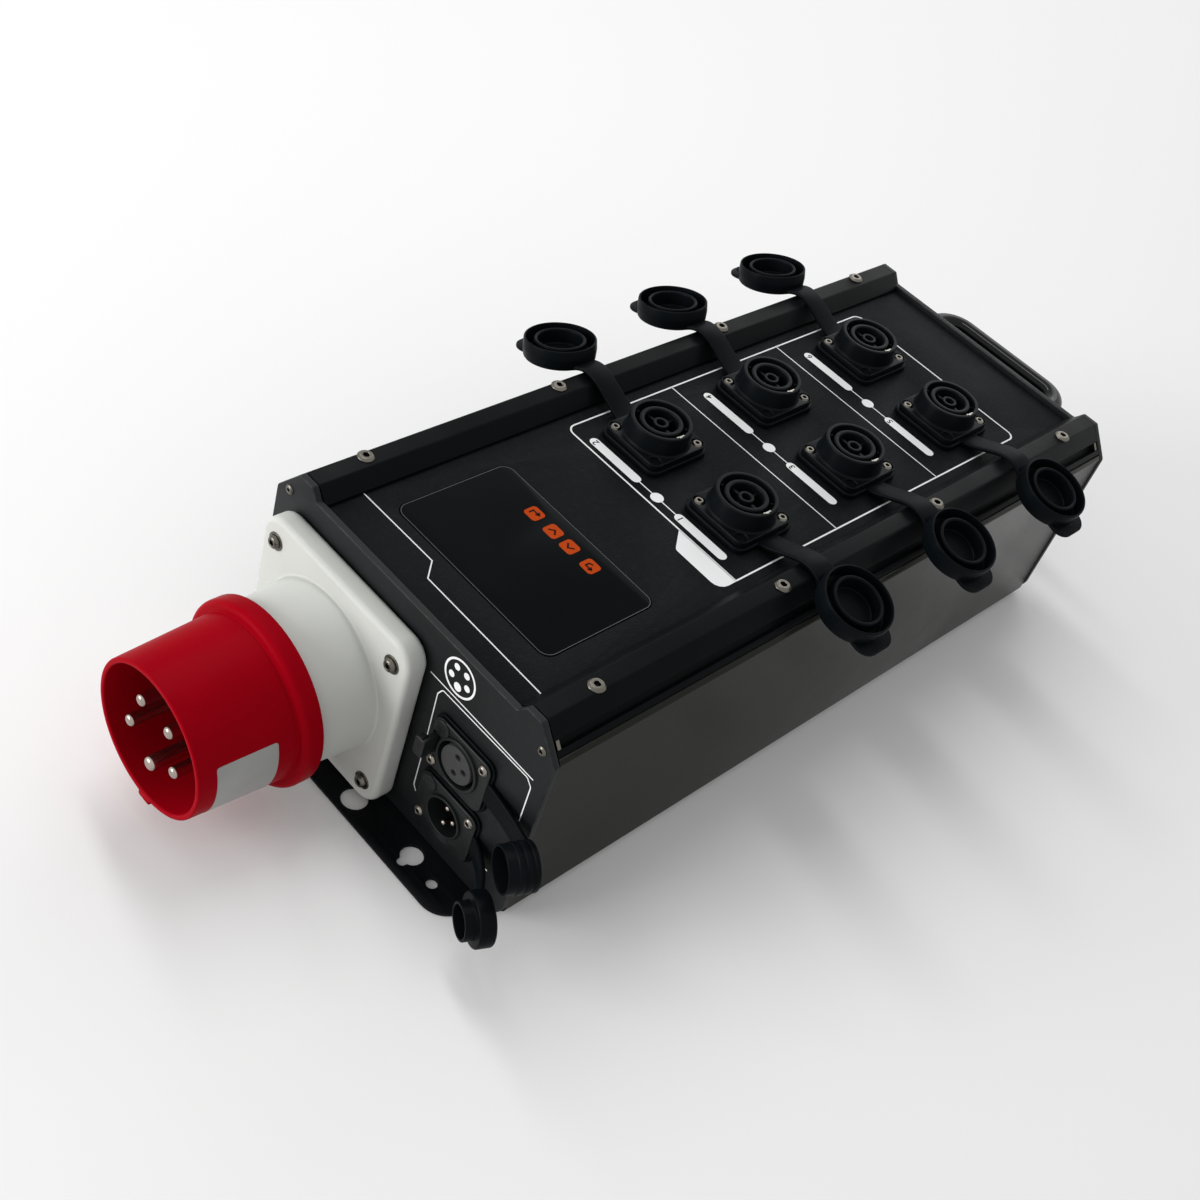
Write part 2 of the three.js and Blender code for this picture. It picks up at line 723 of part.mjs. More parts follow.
// Five pins on one circle, the earth pin lowest and thicker
const pins = [0, 1, 2, 3, 4].map((step) => {
  const angle = (step * 2 * Math.PI) / 5 - Math.PI / 2;
  const radius = step === 0 ? pin.earthRadius : pin.radius;
  return { x: pin.circle * Math.cos(angle), y: pin.circle * Math.sin(angle), radius };
});
const pinTip = shroudFoot + shroud.length - pin.sunk;
function contactPin(radius, from, to, sides) {
  const round = radius * Math.SQRT1_2;
  const profile = [
    [0, from],
    [radius, from],
    [radius, to - radius],
    [round, to - radius + round],
    [0, to],
  ];
  return revolved(profile, sides);
}

// Pin carrier: a disc on the shroud's seat and a plug that reaches into the neck
function pinCarrier() {
  const back = shroud.seatDepth + clearance;
  const front = back + insert.thickness;
  const disc = revolved(
    [
      [0, back - insert.plugLength],
      [insert.plugRadius, back - insert.plugLength],
      [insert.plugRadius, back],
      [shroudInner(back) - clearance, back],
      [shroudInner(front) - clearance, front],
      [0, front],
    ],
    segments.large,
  ).translate(0, 0, shroudFoot);
  const bores = pins.map(({ x, y, radius }) =>
    rod(x, y, radius + clearance, 0, shroudFoot + front + overrun, segments.pin),
  );
  return cut(disc, ...bores);
}

// Data connectors, drawn outwards from the front plate. Three contacts lie a quarter turn
// apart on one circle.
const contacts = [-1, 0, 1].map((quarter) => {
  const angle = (quarter * Math.PI) / 2;
  return [xlr.contactCircle * Math.cos(angle), xlr.contactCircle * Math.sin(angle)];
});

function connectorShell(core) {
  const profile = [
    [0, -xlr.bodyDepth],
    [xlr.bodyRadius, -xlr.bodyDepth],
    [xlr.bodyRadius, xlrFace],
    ...core,
  ];
  const body = revolved(profile, segments.outlet);
  const footprint = rectangle(0, 0, xlr.flangeWidth, xlr.flangeHeight, xlr.flangeCorner);
  footprint.holes.push(circle(0, 0, (xlr.bodyRadius + xlrFemale.boreRadius) / 2, segments.outlet));
  const flange = softSlab(footprint, xlrBack, xlrFace, xlr.flangeThickness / 4, segments.smallArc);
  return joined(body, flange);
}

// The latch's slot, cut through whatever the latch passes
function latchSlot() {
  const back = xlrFace - latch.depth - latch.travel - clearance;
  const width = latch.width + 2 * clearance;
  const height = latch.height + 2 * clearance;
  return block(-latch.x, 0, back, width, height, xlrFace + overrun - back);
}

function femaleConnector() {
  const floor = xlrFace - xlrFemale.boreDepth;
  const face = xlrFace - xlrFemale.insertSunk;
  const shellBody = connectorShell([
    [xlrFemale.boreRadius, xlrFace],
    [xlrFemale.boreRadius, floor],
    [xlrFemale.insertRadius, floor],
    [xlrFemale.insertRadius, face],
    [0, face],
  ]);
  const bottom = face - xlrFemale.holeDepth;
  const holes = contacts.map(([x, y]) =>
    rod(x, y, xlrFemale.holeRadius, bottom, face + overrun, segments.pin),
  );
  return cut(shellBody, latchSlot(), ...holes);
}

function maleConnector() {
  const floor = xlrFace - xlrMale.boreDepth;
  const shellBody = connectorShell([
    [xlrMale.boreRadius, xlrFace],
    [xlrMale.boreRadius, floor],
    [0, floor],
  ]);
  const tip = xlrFace - xlrMale.pinSunk;
  const contactPins = contacts.map(([x, y]) =>
    contactPin(xlrMale.pinRadius, floor - xlrMale.pinRadius, tip, segments.pin).translate(x, y, 0),
  );
  return joined(shellBody, ...contactPins);
}

// Push latch beside the female connector's bore
function pushLatch() {
  const back = xlrFace - latch.depth;
  const footprint = rectangle(-latch.x, 0, latch.width, latch.height, latch.width / 4);
  return softSlab(footprint, back, xlrFace + latch.proud, latch.width / 8);
}

// Female cap: a ribbed cup that goes round the connector's insert
function femaleCup() {
  const ribs = [];
  const outer = femaleCap.radius + femaleCap.ribHeight;
  for (let rib = 0; rib < femaleCap.ribCount; rib += 1) {
    const bottom = rib * femaleCap.ribPitch - femaleCap.length;
    ribs.push([outer, bottom + femaleCap.ribWidth / 2]);
    ribs.push([femaleCap.radius, bottom + femaleCap.ribWidth]);
    if (rib + 1 < femaleCap.ribCount) ribs.push([femaleCap.radius, bottom + femaleCap.ribPitch]);
  }
  const floorTop = femaleCap.floor - femaleCap.length;
  const inner = femaleCap.radius - femaleCap.wall;
  const profile = [
    [0, -femaleCap.length],
    [femaleCap.radius, -femaleCap.length],
    ...ribs,
    [femaleCap.radius, 0],
    [inner, 0],
    [inner, floorTop],
    [0, floorTop],
  ];
  return revolved(profile, segments.outlet);
}

// Male cap: a thick body with a hollow plug that goes into the connector's bore
function maleCup() {
  const bottom = -maleCap.plugLength - maleCap.length;
  const inner = maleCap.plugRadius - maleCap.plugWall;
  const profile = [
    [0, bottom],
    [maleCap.radius - maleCap.edge, bottom],
    [maleCap.radius, bottom + maleCap.edge],
    [maleCap.radius, -maleCap.plugLength - maleCap.edge],
    [maleCap.radius - maleCap.edge, -maleCap.plugLength],
    [maleCap.plugRadius, -maleCap.plugLength],
    [maleCap.plugRadius, 0],
    [inner, 0],
    [inner, bottom + maleCap.floor],
    [0, bottom + maleCap.floor],
  ];
  return revolved(profile, segments.outlet);
}

// Seal under a data connector's flange, with the first half of the strap, and its cap
const xlrBendShares = [
  [0.3, 0.1],
  [0.73, 0.5],
];
function xlrSealAndCap(connector, capSizes, cup, capDepth, gripX) {
  const rim = new THREE.Vector2(capSizes.restX - connector.x, capSizes.restOut);
  const closed = new THREE.Vector2(0, xlrFace - capSizes.engaged);
  const { bend, at, place } = cappedBy(rim, closed, xlrCapRest.turnDegrees - 180);
  const halfStrap = xlrCapRest.strapThickness / 2;
  const start = new THREE.Vector2(xlr.flangeWidth / 2 + clearance, clearance + halfStrap);
  const end = at(-gripX, halfStrap - capDepth);
  const sizes = [xlrCapRest.strapThickness, xlrCapRest.strapWidth];
  const { root, tip } = strapHalves(strapBetween(start, end, xlrBendShares, ...sizes), bend.x);
  const width = xlr.flangeWidth + 2 * xlr.sealMargin;
  const height = xlr.flangeHeight + 2 * xlr.sealMargin;
  const footprint = rectangle(0, 0, width, height, xlr.flangeCorner + xlr.sealMargin);
  footprint.holes.push(circle(0, 0, xlr.bodyRadius + clearance, segments.outlet));
  const seal = prism(footprint, clearance, sealFront, segments.smallArc);
  return { seal: joined(seal, root), cap: joined(place(cup), tip) };
}

// Carrying bow: a round bar bent twice, with both ends on the rear plate
function handleBow() {
  const radius = handle.thickness / 2;
  const legX = handle.width / 2 - radius;
  const footY = halfLength + clearance;
  const barY = halfLength + handle.reach - radius;
  const at = (x, y) => new THREE.Vector3(x, y, roofZ - handle.belowRoof);
  const bendY = barY - handle.bendRadius;
  const bendX = legX - handle.bendRadius;
  const path = new THREE.CurvePath();
  path.add(new THREE.LineCurve3(at(-legX, footY), at(-legX, bendY)));
  path.add(new THREE.QuadraticBezierCurve3(at(-legX, bendY), at(-legX, barY), at(-bendX, barY)));
  path.add(new THREE.LineCurve3(at(-bendX, barY), at(bendX, barY)));
  path.add(new THREE.QuadraticBezierCurve3(at(bendX, barY), at(legX, barY), at(legX, bendY)));
  path.add(new THREE.LineCurve3(at(legX, bendY), at(legX, footY)));
  const section = new THREE.Shape(circle(0, 0, radius, segments.pin).getPoints());
  return new THREE.ExtrudeGeometry(section, { steps: segments.bowSteps, extrudePath: path });
}

// Heat sink, drawn across and up: a foot with upright fins
function heatSinkProfile() {
  const half = heatSink.width / 2;
  const gap = (heatSink.width - heatSink.finCount * heatSink.finThickness) / (heatSink.finCount - 1);
  const corners = [
    [-half, 0],
    [half, 0],
  ];
  for (let fin = 0; fin < heatSink.finCount; fin += 1) {
    const right = half - fin * (heatSink.finThickness + gap);
    const left = right - heatSink.finThickness;
    if (fin > 0) corners.push([right, heatSink.foot]);
    corners.push([right, heatSink.height], [left, heatSink.height]);
    if (fin + 1 < heatSink.finCount) corners.push([left, heatSink.foot]);
  }
  return outline(corners);
}

// Mains terminal block with a wire way for each conductor
function terminalBlock() {
  const body = block(0, 0, 0, terminal.width, terminal.length, terminal.height);
  const pitch = terminal.width / terminal.ways;
  const ways = Array.from({ length: terminal.ways }, (_, i) => {
    const x = (i - (terminal.ways - 1) / 2) * pitch;
    const from = terminal.length / 2 - terminal.wayDepth;
    const hole = rod(x, 0, terminal.wayRadius, from, terminal.length / 2 + overrun, segments.slim);
    return hole.rotateX(Math.PI / 2).translate(0, 0, terminal.height / 2);
  });
  return cut(body, ...ways);
}

// The assembly
const pack = new THREE.Group();

piece(pack, "base_plate", basePlate(), materials.blackMetal);

const sheet = (shape) => prism(shape, -shellLength / 2, shellLength / 2).rotateX(Math.PI / 2);
piece(pack, "lower_shell", sheet(lowerShell()), materials.sidePanel);
piece(pack, "right_rail", sheet(railProfile()), materials.rail);
piece(pack, "left_rail", sheet(railProfile()).rotateZ(Math.PI), materials.rail);
piece(pack, "top_panel", topPanel(), materials.topPanel);

const windowShape = rectangle(0, displayY, display.width, display.length, display.cornerRadius);
const windowBottom = panelZ - panel.thickness;
const windowTop = windowBottom + display.thickness;
const windowSolid = prism(windowShape, windowBottom, windowTop, segments.wideArc);
piece(pack, "display_window", windowSolid, materials.glass);

for (const [column, side] of [["left", -1], ["right", 1]]) {
  outletYs.forEach((y, row) => {
    const place = group(pack, side * outletGrid.x, y, panelZ);
    const outwards = group(place, 0, 0, 0);
    outwards.rotation.z = side < 0 ? Math.PI : 0;
    const rubber = sealAndCap();
    const number = row + 1;
    piece(place, `outlet_${column}_${number}`, outletBody(), materials.outletBody);
    piece(outwards, `outlet_gasket_${column}_${number}`, rubber.seal, materials.rubber);
    piece(outwards, `outlet_cap_${column}_${number}`, rubber.cap, materials.rubber);
  });
}

// Everything on the front is placed across, up and outwards from the plate's outer face
const front = group(pack, 0, -halfLength, 0);
front.rotation.x = Math.PI / 2;
const frontShape = endPlate();
frontShape.holes.push(circle(inlet.x, inlet.z, inlet.spigotRadius + clearance, segments.large));
for (const { x, z } of [xlrFemale, xlrMale]) {
  frontShape.holes.push(circle(x, z, xlr.bodyRadius + clearance, segments.outlet));
}
const slotInPlate = latchSlot().translate(xlrFemale.x, xlrFemale.z, 0);
const frontPlate = cut(prism(frontShape, -housing.plate, 0), slotInPlate);
piece(front, "front_end_plate", frontPlate, materials.endPlate);

const mains = group(front, inlet.x, inlet.z, 0);
piece(mains, "inlet_flange", inletFlange(), materials.white);
piece(mains, "inlet_shroud", inletShroud(), materials.red);
piece(mains, "inlet_pin_carrier", pinCarrier(), materials.red);
pins.forEach(({ x, y, radius }, index) => {
  const place = group(mains, x, y, 0);
  const solid = contactPin(radius, pinTip - pin.length, pinTip, segments.pin);
  piece(place, `inlet_pin_${index + 1}`, solid, materials.nickel);
});

const female = group(front, xlrFemale.x, xlrFemale.z, 0);
const femaleGrip = femaleCap.radius - 2 * femaleCap.wall;
const femaleRubber = xlrSealAndCap(xlrFemale, femaleCap, femaleCup(), femaleCap.length, femaleGrip);
piece(female, "xlr_female", femaleConnector(), materials.blackMetal);
piece(female, "xlr_latch", pushLatch(), materials.blackMetal);
piece(female, "xlr_female_gasket", cut(femaleRubber.seal, latchSlot()), materials.rubber);
piece(female, "xlr_female_cap", femaleRubber.cap, materials.rubber);

const male = group(front, xlrMale.x, xlrMale.z, 0);
const maleDepth = maleCap.length + maleCap.plugLength;
const maleGrip = maleCap.radius - 2 * maleCap.plugWall;
const maleRubber = xlrSealAndCap(xlrMale, maleCap, maleCup(), maleDepth, maleGrip);
piece(male, "xlr_male", maleConnector(), materials.blackMetal);
piece(male, "xlr_male_gasket", maleRubber.seal, materials.rubber);
piece(male, "xlr_male_cap", maleRubber.cap, materials.rubber);

const rear = group(pack, 0, halfLength - housing.plate, 0);
rear.rotation.x = Math.PI / 2;
const rearPlate = prism(endPlate(), -housing.plate, 0);
piece(rear, "rear_end_plate", rearPlate, materials.endPlate);
piece(pack, "handle", handleBow(), materials.blackMetal);

// Inside: the power board on its standoffs with heat sink and chokes, the mains terminals
// behind the inlet, and the display module with its control board under the window
const boardY = halfLength - housing.plate - board.rearGap - board.length / 2;
const boardWidth = 2 * (halfShell - shell.wall - board.sideGap);
const power = group(pack, 0, boardY, floorZ + board.aboveFloor);
const boardSolid = block(0, 0, 0, boardWidth, board.length, board.thickness);
piece(power, "power_board", boardSolid, materials.board);
const boardTop = board.thickness + clearance;
const halfSink = board.length / 2 - heatSink.endGap;
const sink = prism(heatSinkProfile(), -halfSink, halfSink);
sink.rotateX(Math.PI / 2).translate(heatSink.x, 0, boardTop);
piece(power, "heat_sink", sink, materials.aluminium);
const chokePitch = (board.length - 2 * choke.endGap) / (choke.count - 1);
const chokeRing = (chokePitch - choke.gap) / 2 - choke.wire;
for (let i = 0; i < choke.count; i += 1) {
  const y = (i - (choke.count - 1) / 2) * chokePitch;
  const ring = new THREE.TorusGeometry(chokeRing, choke.wire, segments.choke, segments.pin);
  piece(group(power, choke.x, y, boardTop + choke.wire), `choke_${i + 1}`, ring, materials.copper);
}
const standX = boardWidth / 2 - standoff.insetX;
const standY = board.length / 2 - standoff.insetY;
const standFrom = clearance - board.aboveFloor;
[[-1, -1], [1, -1], [1, 1], [-1, 1]].forEach(([sideX, sideY], i) => {
  const post = rod(0, 0, standoff.radius, standFrom, -clearance, segments.slim);
  const place = group(power, sideX * standX, sideY * standY, 0);
  piece(place, `board_standoff_${i + 1}`, post, materials.nickel);
});

const terminalY = housing.plate + terminal.gapToPlate + terminal.length / 2 - halfLength;
const terminals = group(pack, inlet.x, terminalY, floorZ + clearance);
piece(terminals, "terminal_block", terminalBlock(), materials.green);

const moduleZ = windowBottom - clearance - displayModule.height;
const screen = group(pack, 0, displayY, moduleZ);
const moduleSolid = block(0, 0, 0, displayModule.width, displayModule.length, displayModule.height);
piece(screen, "display_module", moduleSolid, materials.blackMetal);
const { width: controlWidth, length: controlLength, thickness: controlThickness } = controlBoard;
const controlZ = -clearance - controlThickness;
const controlSolid = block(0, 0, controlZ, controlWidth, controlLength, controlThickness);
piece(screen, "control_board", controlSolid, materials.board);

export default pack;
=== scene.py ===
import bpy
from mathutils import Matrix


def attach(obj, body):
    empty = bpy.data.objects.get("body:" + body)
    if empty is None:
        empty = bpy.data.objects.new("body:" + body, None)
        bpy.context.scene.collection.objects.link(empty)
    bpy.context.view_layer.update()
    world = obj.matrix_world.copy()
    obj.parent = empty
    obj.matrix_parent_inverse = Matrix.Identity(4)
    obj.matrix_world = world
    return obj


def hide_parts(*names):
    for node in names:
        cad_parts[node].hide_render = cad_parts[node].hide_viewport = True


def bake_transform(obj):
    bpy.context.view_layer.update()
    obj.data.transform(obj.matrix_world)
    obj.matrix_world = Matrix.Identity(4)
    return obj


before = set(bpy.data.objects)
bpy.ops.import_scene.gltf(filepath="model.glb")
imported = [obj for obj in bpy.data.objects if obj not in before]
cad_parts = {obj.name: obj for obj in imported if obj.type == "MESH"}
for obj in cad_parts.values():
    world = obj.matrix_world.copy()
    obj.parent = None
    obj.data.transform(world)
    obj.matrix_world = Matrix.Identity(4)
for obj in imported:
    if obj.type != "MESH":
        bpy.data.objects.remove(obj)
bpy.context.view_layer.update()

from math import asin, atan2, cos, hypot, pi, radians, sin, tan
from types import SimpleNamespace as Sizes

import bmesh
import bpy
from mathutils import Matrix, Vector
from mathutils.geometry import tessellate_polygon

# ---- Camera ---------------------------------------------------------------------------
# It looks down on the pack from in front of the inlet end and to the right, and is rolled
# a little. Its place is in metres.
camera_place = Vector((0.2706, -0.4897, 0.5036))
camera_right = Vector((0.6621, 0.7038, 0.2573)).normalized()
camera_forward = Vector((-0.3982, 0.6213, -0.6748)).normalized()
camera_down = camera_forward.cross(camera_right).normalized()


def set_up(name, data):
    """Puts something into the scene."""
    made = bpy.data.objects.new(name, data)
    bpy.context.scene.collection.objects.link(made)
    return made


lens = bpy.data.cameras.new("camera")
lens.lens = 48.29
lens.sensor_width = 36
lens.clip_start = 0.01
camera = set_up("camera", lens)
camera_axes = Matrix((camera_right, -camera_down, -camera_forward)).transposed()
camera.matrix_world = Matrix.Translation(camera_place) @ camera_axes.to_4x4()
bpy.context.scene.camera = camera

# ---- Base plate -----------------------------------------------------------------------
# Punched steel sheet under the whole pack, powder-coated black. Its two flanges carry the
# keyholes and screw holes, and the front one a large hole to hang the pack by.
# Lengths here and below are in millimetres.
MM = 0.001
base = Sizes(thickness=1.5, width=140, flange=19.3, corner=12, edge=0.25)
hanging_hole = Sizes(radius=5.5, x=6.1, from_edge=8.2)
keyhole = Sizes(head=4.75, slot=2.1, x=39.4, from_edge=10.7, length=5)
fixing_hole = Sizes(radius=2.4, x=53.7, from_edge=9)
housing = Sizes(length=364.6, width=160.8, height=103.9, plate=3, corner=8)
half_length = housing.length / 2


def arc_points(x, y, radius, start, end, steps):
    """Points of an arc from one angle to another."""
    angles = [start + (end - start) * i / steps for i in range(steps + 1)]
    return [(x + radius * cos(a), y + radius * sin(a)) for a in angles]


def hole(x, y, radius, steps=40):
    """Points of a round hole."""
    return arc_points(x, y, radius, 0, 2 * pi, steps)[:-1]


def rounded(corners, steps=6):
    """Points along an outline whose corners are (x, y) or (x, y, radius)."""
    points = []
    for i, corner in enumerate(corners):
        radius = corner[2] if len(corner) > 2 else 0
        here = Vector(corner[:2])
        if radius == 0:
            points.append(tuple(here))
            continue
        before = (Vector(corners[i - 1][:2]) - here).normalized()
        after = (Vector(corners[(i + 1) % len(corners)][:2]) - here).normalized()
        half = before.angle(after) / 2
        centre = here + (before + after).normalized() * (radius / sin(half))
        start = here + before * (radius / tan(half)) - centre
        end = here + after * (radius / tan(half)) - centre
        first = atan2(start.y, start.x)
        turn = (atan2(end.y, end.x) - first + pi) % (2 * pi) - pi
        points += arc_points(centre.x, centre.y, radius, first, first + turn, steps)
    return points


def box_outline(x, y, width, height, radius, steps=6):
    """Points of an upright rectangle with rounded corners."""
    across, up = width / 2, height / 2
    signs = ((-1, -1), (1, -1), (1, 1), (-1, 1))
    return rounded([(x + a * across, y + b * up, radius) for a, b in signs], steps)


def wound(loop, left):
    """The loop, turned round if need be so that it runs counter-clockwise, or clockwise."""
    pairs = zip(loop, loop[1:] + loop[:1])
    area = sum(x1 * y2 - x2 * y1 for (x1, y1), (x2, y2) in pairs)
    return loop if (area > 0) == left else loop[::-1]


def inset(loop, distance):
    """The loop moved into the material, which lies on its left."""
    moved = []
    for i, (x, y) in enumerate(loop):
        before = Vector((x - loop[i - 1][0], y - loop[i - 1][1])).normalized()
        following = loop[(i + 1) % len(loop)]
        after = Vector((following[0] - x, following[1] - y)).normalized()
        sides = Vector((-before.y - after.y, before.x + after.x))
        shift = sides * (distance / max(0.3, 1 + before.dot(after)))
        moved.append((x + shift.x, y + shift.y))
    return moved


def slab(outer, holes, low, high, edge=0.0, edge_steps=2):
    """A plate between two heights with rounded edges. Its edges are marked, to be coloured lighter
    as wear and as painted highlight.
    """
    loops = [wound(outer, True)] + [wound(loop, False) for loop in holes]
    angles = [pi / 2 * i / edge_steps for i in range(edge_steps + 1)] if edge else [pi / 2]
    rings = [(edge * (1 - sin(a)), low + edge * (1 - cos(a)), a) for a in angles]
    rings += [(depth, high + low - z, a) for depth, z, a in reversed(rings)]
    plate = bmesh.new()
    wear_and_highlight = plate.verts.layers.float.new("wear_and_highlight")
    layers = []
    for depth, z, angle in rings:
        layer = []
        for loop in loops:
            corners = [plate.verts.new((x, y, z)) for x, y in inset(loop, depth)]
            for corner in corners:
                corner[wear_and_highlight] = sin(2 * angle)
            layer.append(corners)
        layers.append(layer)
    for below, above in zip(layers, layers[1:]):
        for lower, upper in zip(below, above):
            for i in range(len(lower)):
                j = (i + 1) % len(lower)
                plate.faces.new((lower[i], lower[j], upper[j], upper[i]))
    for layer in (layers[0], layers[-1]):
        corners = [corner for ring in layer for corner in ring]
        flat = [[(c.co.x, c.co.y, 0) for c in ring] for ring in layer]
        for triple in tessellate_polygon(flat):
            plate.faces.new([corners[i] for i in triple])
    return plate


def piece(name, solid, finish, body="pack", nodes=(), place=Matrix()):
    """Turns a solid in millimetres into a finished piece, which rides on a body if it has one."""
    solid.transform(Matrix.Scale(MM, 4) @ place)
    bmesh.ops.recalc_face_normals(solid, faces=solid.faces)
    mesh = bpy.data.meshes.new(name)
    solid.to_mesh(mesh)
    solid.free()
    mesh.shade_smooth()
    mesh.set_sharp_from_angle(angle=radians(35))
    mesh.materials.append(finish)
    made = set_up(name, mesh)
    if body:
        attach(made, body)
    if nodes:
        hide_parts(*nodes)
    return made


def shader_node(tree, kind, values=(), feeds=()):
    """A new shader node, with values on its sockets and other nodes' outputs fed in."""
    made = tree.nodes.new("ShaderNode" + kind)
    for socket, value in dict(values).items():
        made.inputs[socket].default_value = value
    for socket, output in dict(feeds).items():
        tree.links.new(output, made.inputs[socket])
    return made


def coated(name, colour, roughness, metal=0.0, mottle=0.12, grain=0.0, grain_size=0.5,
           wear_and_highlight=0.0, gloss=0.5, spread=0.06, dust=0.0):
    """A finish: mottled colour, uneven roughness, fine grain as bump, and lighter edges, which are
    wear and on the end plates also a painted highlight. The grain's size is in millimetres."""
    finish = bpy.data.materials.new(name)
    finish.use_nodes = True
    tree = finish.node_tree
    shader = tree.nodes["Principled BSDF"]
    shader.inputs["Metallic"].default_value = metal
    shader.inputs["Specular IOR Level"].default_value = gloss
    where = shader_node(tree, "TexCoord").outputs["Object"]

    def noise(scale, detail):
        values = {"Scale": scale, "Detail": detail}
        return shader_node(tree, "TexNoise", values, {"Vector": where}).outputs["Fac"]

    def between(fac, low, high, start=0.3, end=0.7):
        values = {"From Min": start, "From Max": end, "To Min": low, "To Max": high}
        return shader_node(tree, "MapRange", values, {"Value": fac}).outputs["Result"]

    def shade(factor, lift=0.0):
        return tuple(min(1, c * factor + lift) for c in colour)

    def mixed(fac, first, second):
        mix = shader_node(tree, "Mix", feeds={"Factor": fac})
        mix.data_type = "RGBA"
        for socket, value in ((mix.inputs[6], first), (mix.inputs[7], second)):
            if isinstance(value, tuple):
                socket.default_value = (*value, 1)
            else:
                tree.links.new(value, socket)
        return mix.outputs[2]

    # clouds of about 20 mm and specks of about 2 mm
    clouds, specks = noise(45, 4), noise(420, 3)
    tone = mixed(between(clouds, 0, 1), shade(1 - mottle), shade(1 + mottle))
    if dust:
        tone = mixed(between(specks, 0, dust, 0.5, 0.8), tone, shade(0.5, 0.04))
    # Lighter edges: wear, and on the end plates also a painted highlight along the bevels.
    if wear_and_highlight:
        edge = shader_node(tree, "Attribute")
        edge.attribute_name = "wear_and_highlight"
        patches = between(specks, 0.2 * wear_and_highlight, wear_and_highlight, 0.4, 0.65)
        edge_wear_and_highlight = shader_node(tree, "Math", feeds={0: edge.outputs["Fac"], 1: patches})
        edge_wear_and_highlight.operation = "MULTIPLY"
        tone = mixed(edge_wear_and_highlight.outputs["Value"], tone, shade(2, 0.015))
    tree.links.new(tone, shader.inputs["Base Color"])
    uneven = between(clouds, roughness - spread, roughness + spread)
    tree.links.new(uneven, shader.inputs["Roughness"])
    if grain:
        height = noise(1 / (grain_size * MM), 2)
        values = {"Strength": grain, "Distance": grain_size * MM * 0.3}
        bump = shader_node(tree, "Bump", values, {"Height": height})
        tree.links.new(bump.outputs["Normal"], shader.inputs["Normal"])
    return finish


black_coat = coated("black_powder_coat", (0.004, 0.0046, 0.0054), 0.45, grain=0.3,
                    grain_size=0.6, wear_and_highlight=0.5, gloss=0.06)
edge_y = half_length + base.flange
base_holes = [hole(hanging_hole.x, hanging_hole.from_edge - edge_y, hanging_hole.radius)]
lean = asin(keyhole.slot / keyhole.head)
for side in (-1, 1):
    for end in (-1, 1):
        fixing_y = end * (edge_y - fixing_hole.from_edge)
        base_holes.append(hole(side * fixing_hole.x, fixing_y, fixing_hole.radius, 24))
        x, y = side * keyhole.x, end * (edge_y - keyhole.from_edge)
        head = arc_points(x, y, keyhole.head, lean - pi / 2, 1.5 * pi - lean, 30)
        foot = arc_points(x, y - keyhole.length, keyhole.slot, pi, 2 * pi, 12)
        base_holes.append(head + foot)
base_outline = box_outline(0, 0, base.width, 2 * edge_y, base.corner, 10)
base_plate = slab(base_outline, base_holes, 0, base.thickness, base.edge)
piece("base_plate_sheet", base_plate, black_coat, nodes=["base_plate"])

# ---- Lower shell ----------------------------------------------------------------------
# One folded sheet makes the floor and both glossy sides. Its upper edges lean inwards
# under the rails.
clearance = 0.3
shoulder = Sizes(width=11.4, height=13.7, radius=3)
shell = Sizes(wall=2, inset=0.4, fold=4, inner_fold=2, knee=1.5, edge=0.2)
rail = Sizes(wall=2, height=11.4, lip=6.4, lip_height=0.9, ledge=4, edge=1.8, end_edge=0.15)
bottom_z = base.thickness + clearance
roof_z = bottom_z + housing.height
rail_bottom_z = roof_z - rail.height
half_width = housing.width / 2
half_shell = half_width - shell.inset
ear_outer = half_width - shoulder.width
shell_length = housing.length - 2 * housing.plate - 2 * clearance
slope = atan2(shoulder.height, shoulder.width)


def shoulder_x(z):
    """Where the sloping shoulder stands at a height."""
    return ear_outer + (roof_z - z) / tan(slope)


def both_sides(right):
    """An outline from its right half, drawn from the bottom up."""
    left = [(-corner[0], *corner[1:]) for corner in reversed(right)]
    return right + left


def spun(angle, axis="Z"):
    """A turn about an axis."""
    return Matrix.Rotation(angle, 4, axis)


upright = spun(pi / 2, "X")
shell_top = rail_bottom_z - clearance
knee_z = roof_z - (half_shell - ear_outer) * tan(slope)
shell_corners = both_sides([
    (half_shell, bottom_z, shell.fold), (half_shell, knee_z, shell.knee),
    (shoulder_x(shell_top), shell_top), (half_shell - shell.wall, shell_top),
    (half_shell - shell.wall, bottom_z + shell.wall, shell.inner_fold),
])
gloss_black = coated("gloss_black_side", (0.013, 0.013, 0.0112), 0.22, mottle=0.05, grain=0.02,
                     grain_size=4, wear_and_highlight=0.2, gloss=0.09, spread=0.03)
side_shader = gloss_black.node_tree.nodes["Principled BSDF"]
side_shader.inputs["Specular Tint"].default_value = (1, 0.98, 0.9, 1)
shell_solid = slab(rounded(shell_corners, 8), [], -shell_length / 2, shell_length / 2, shell.edge)
piece("shell_sheet", shell_solid, gloss_black, nodes=["lower_shell"], place=upright)

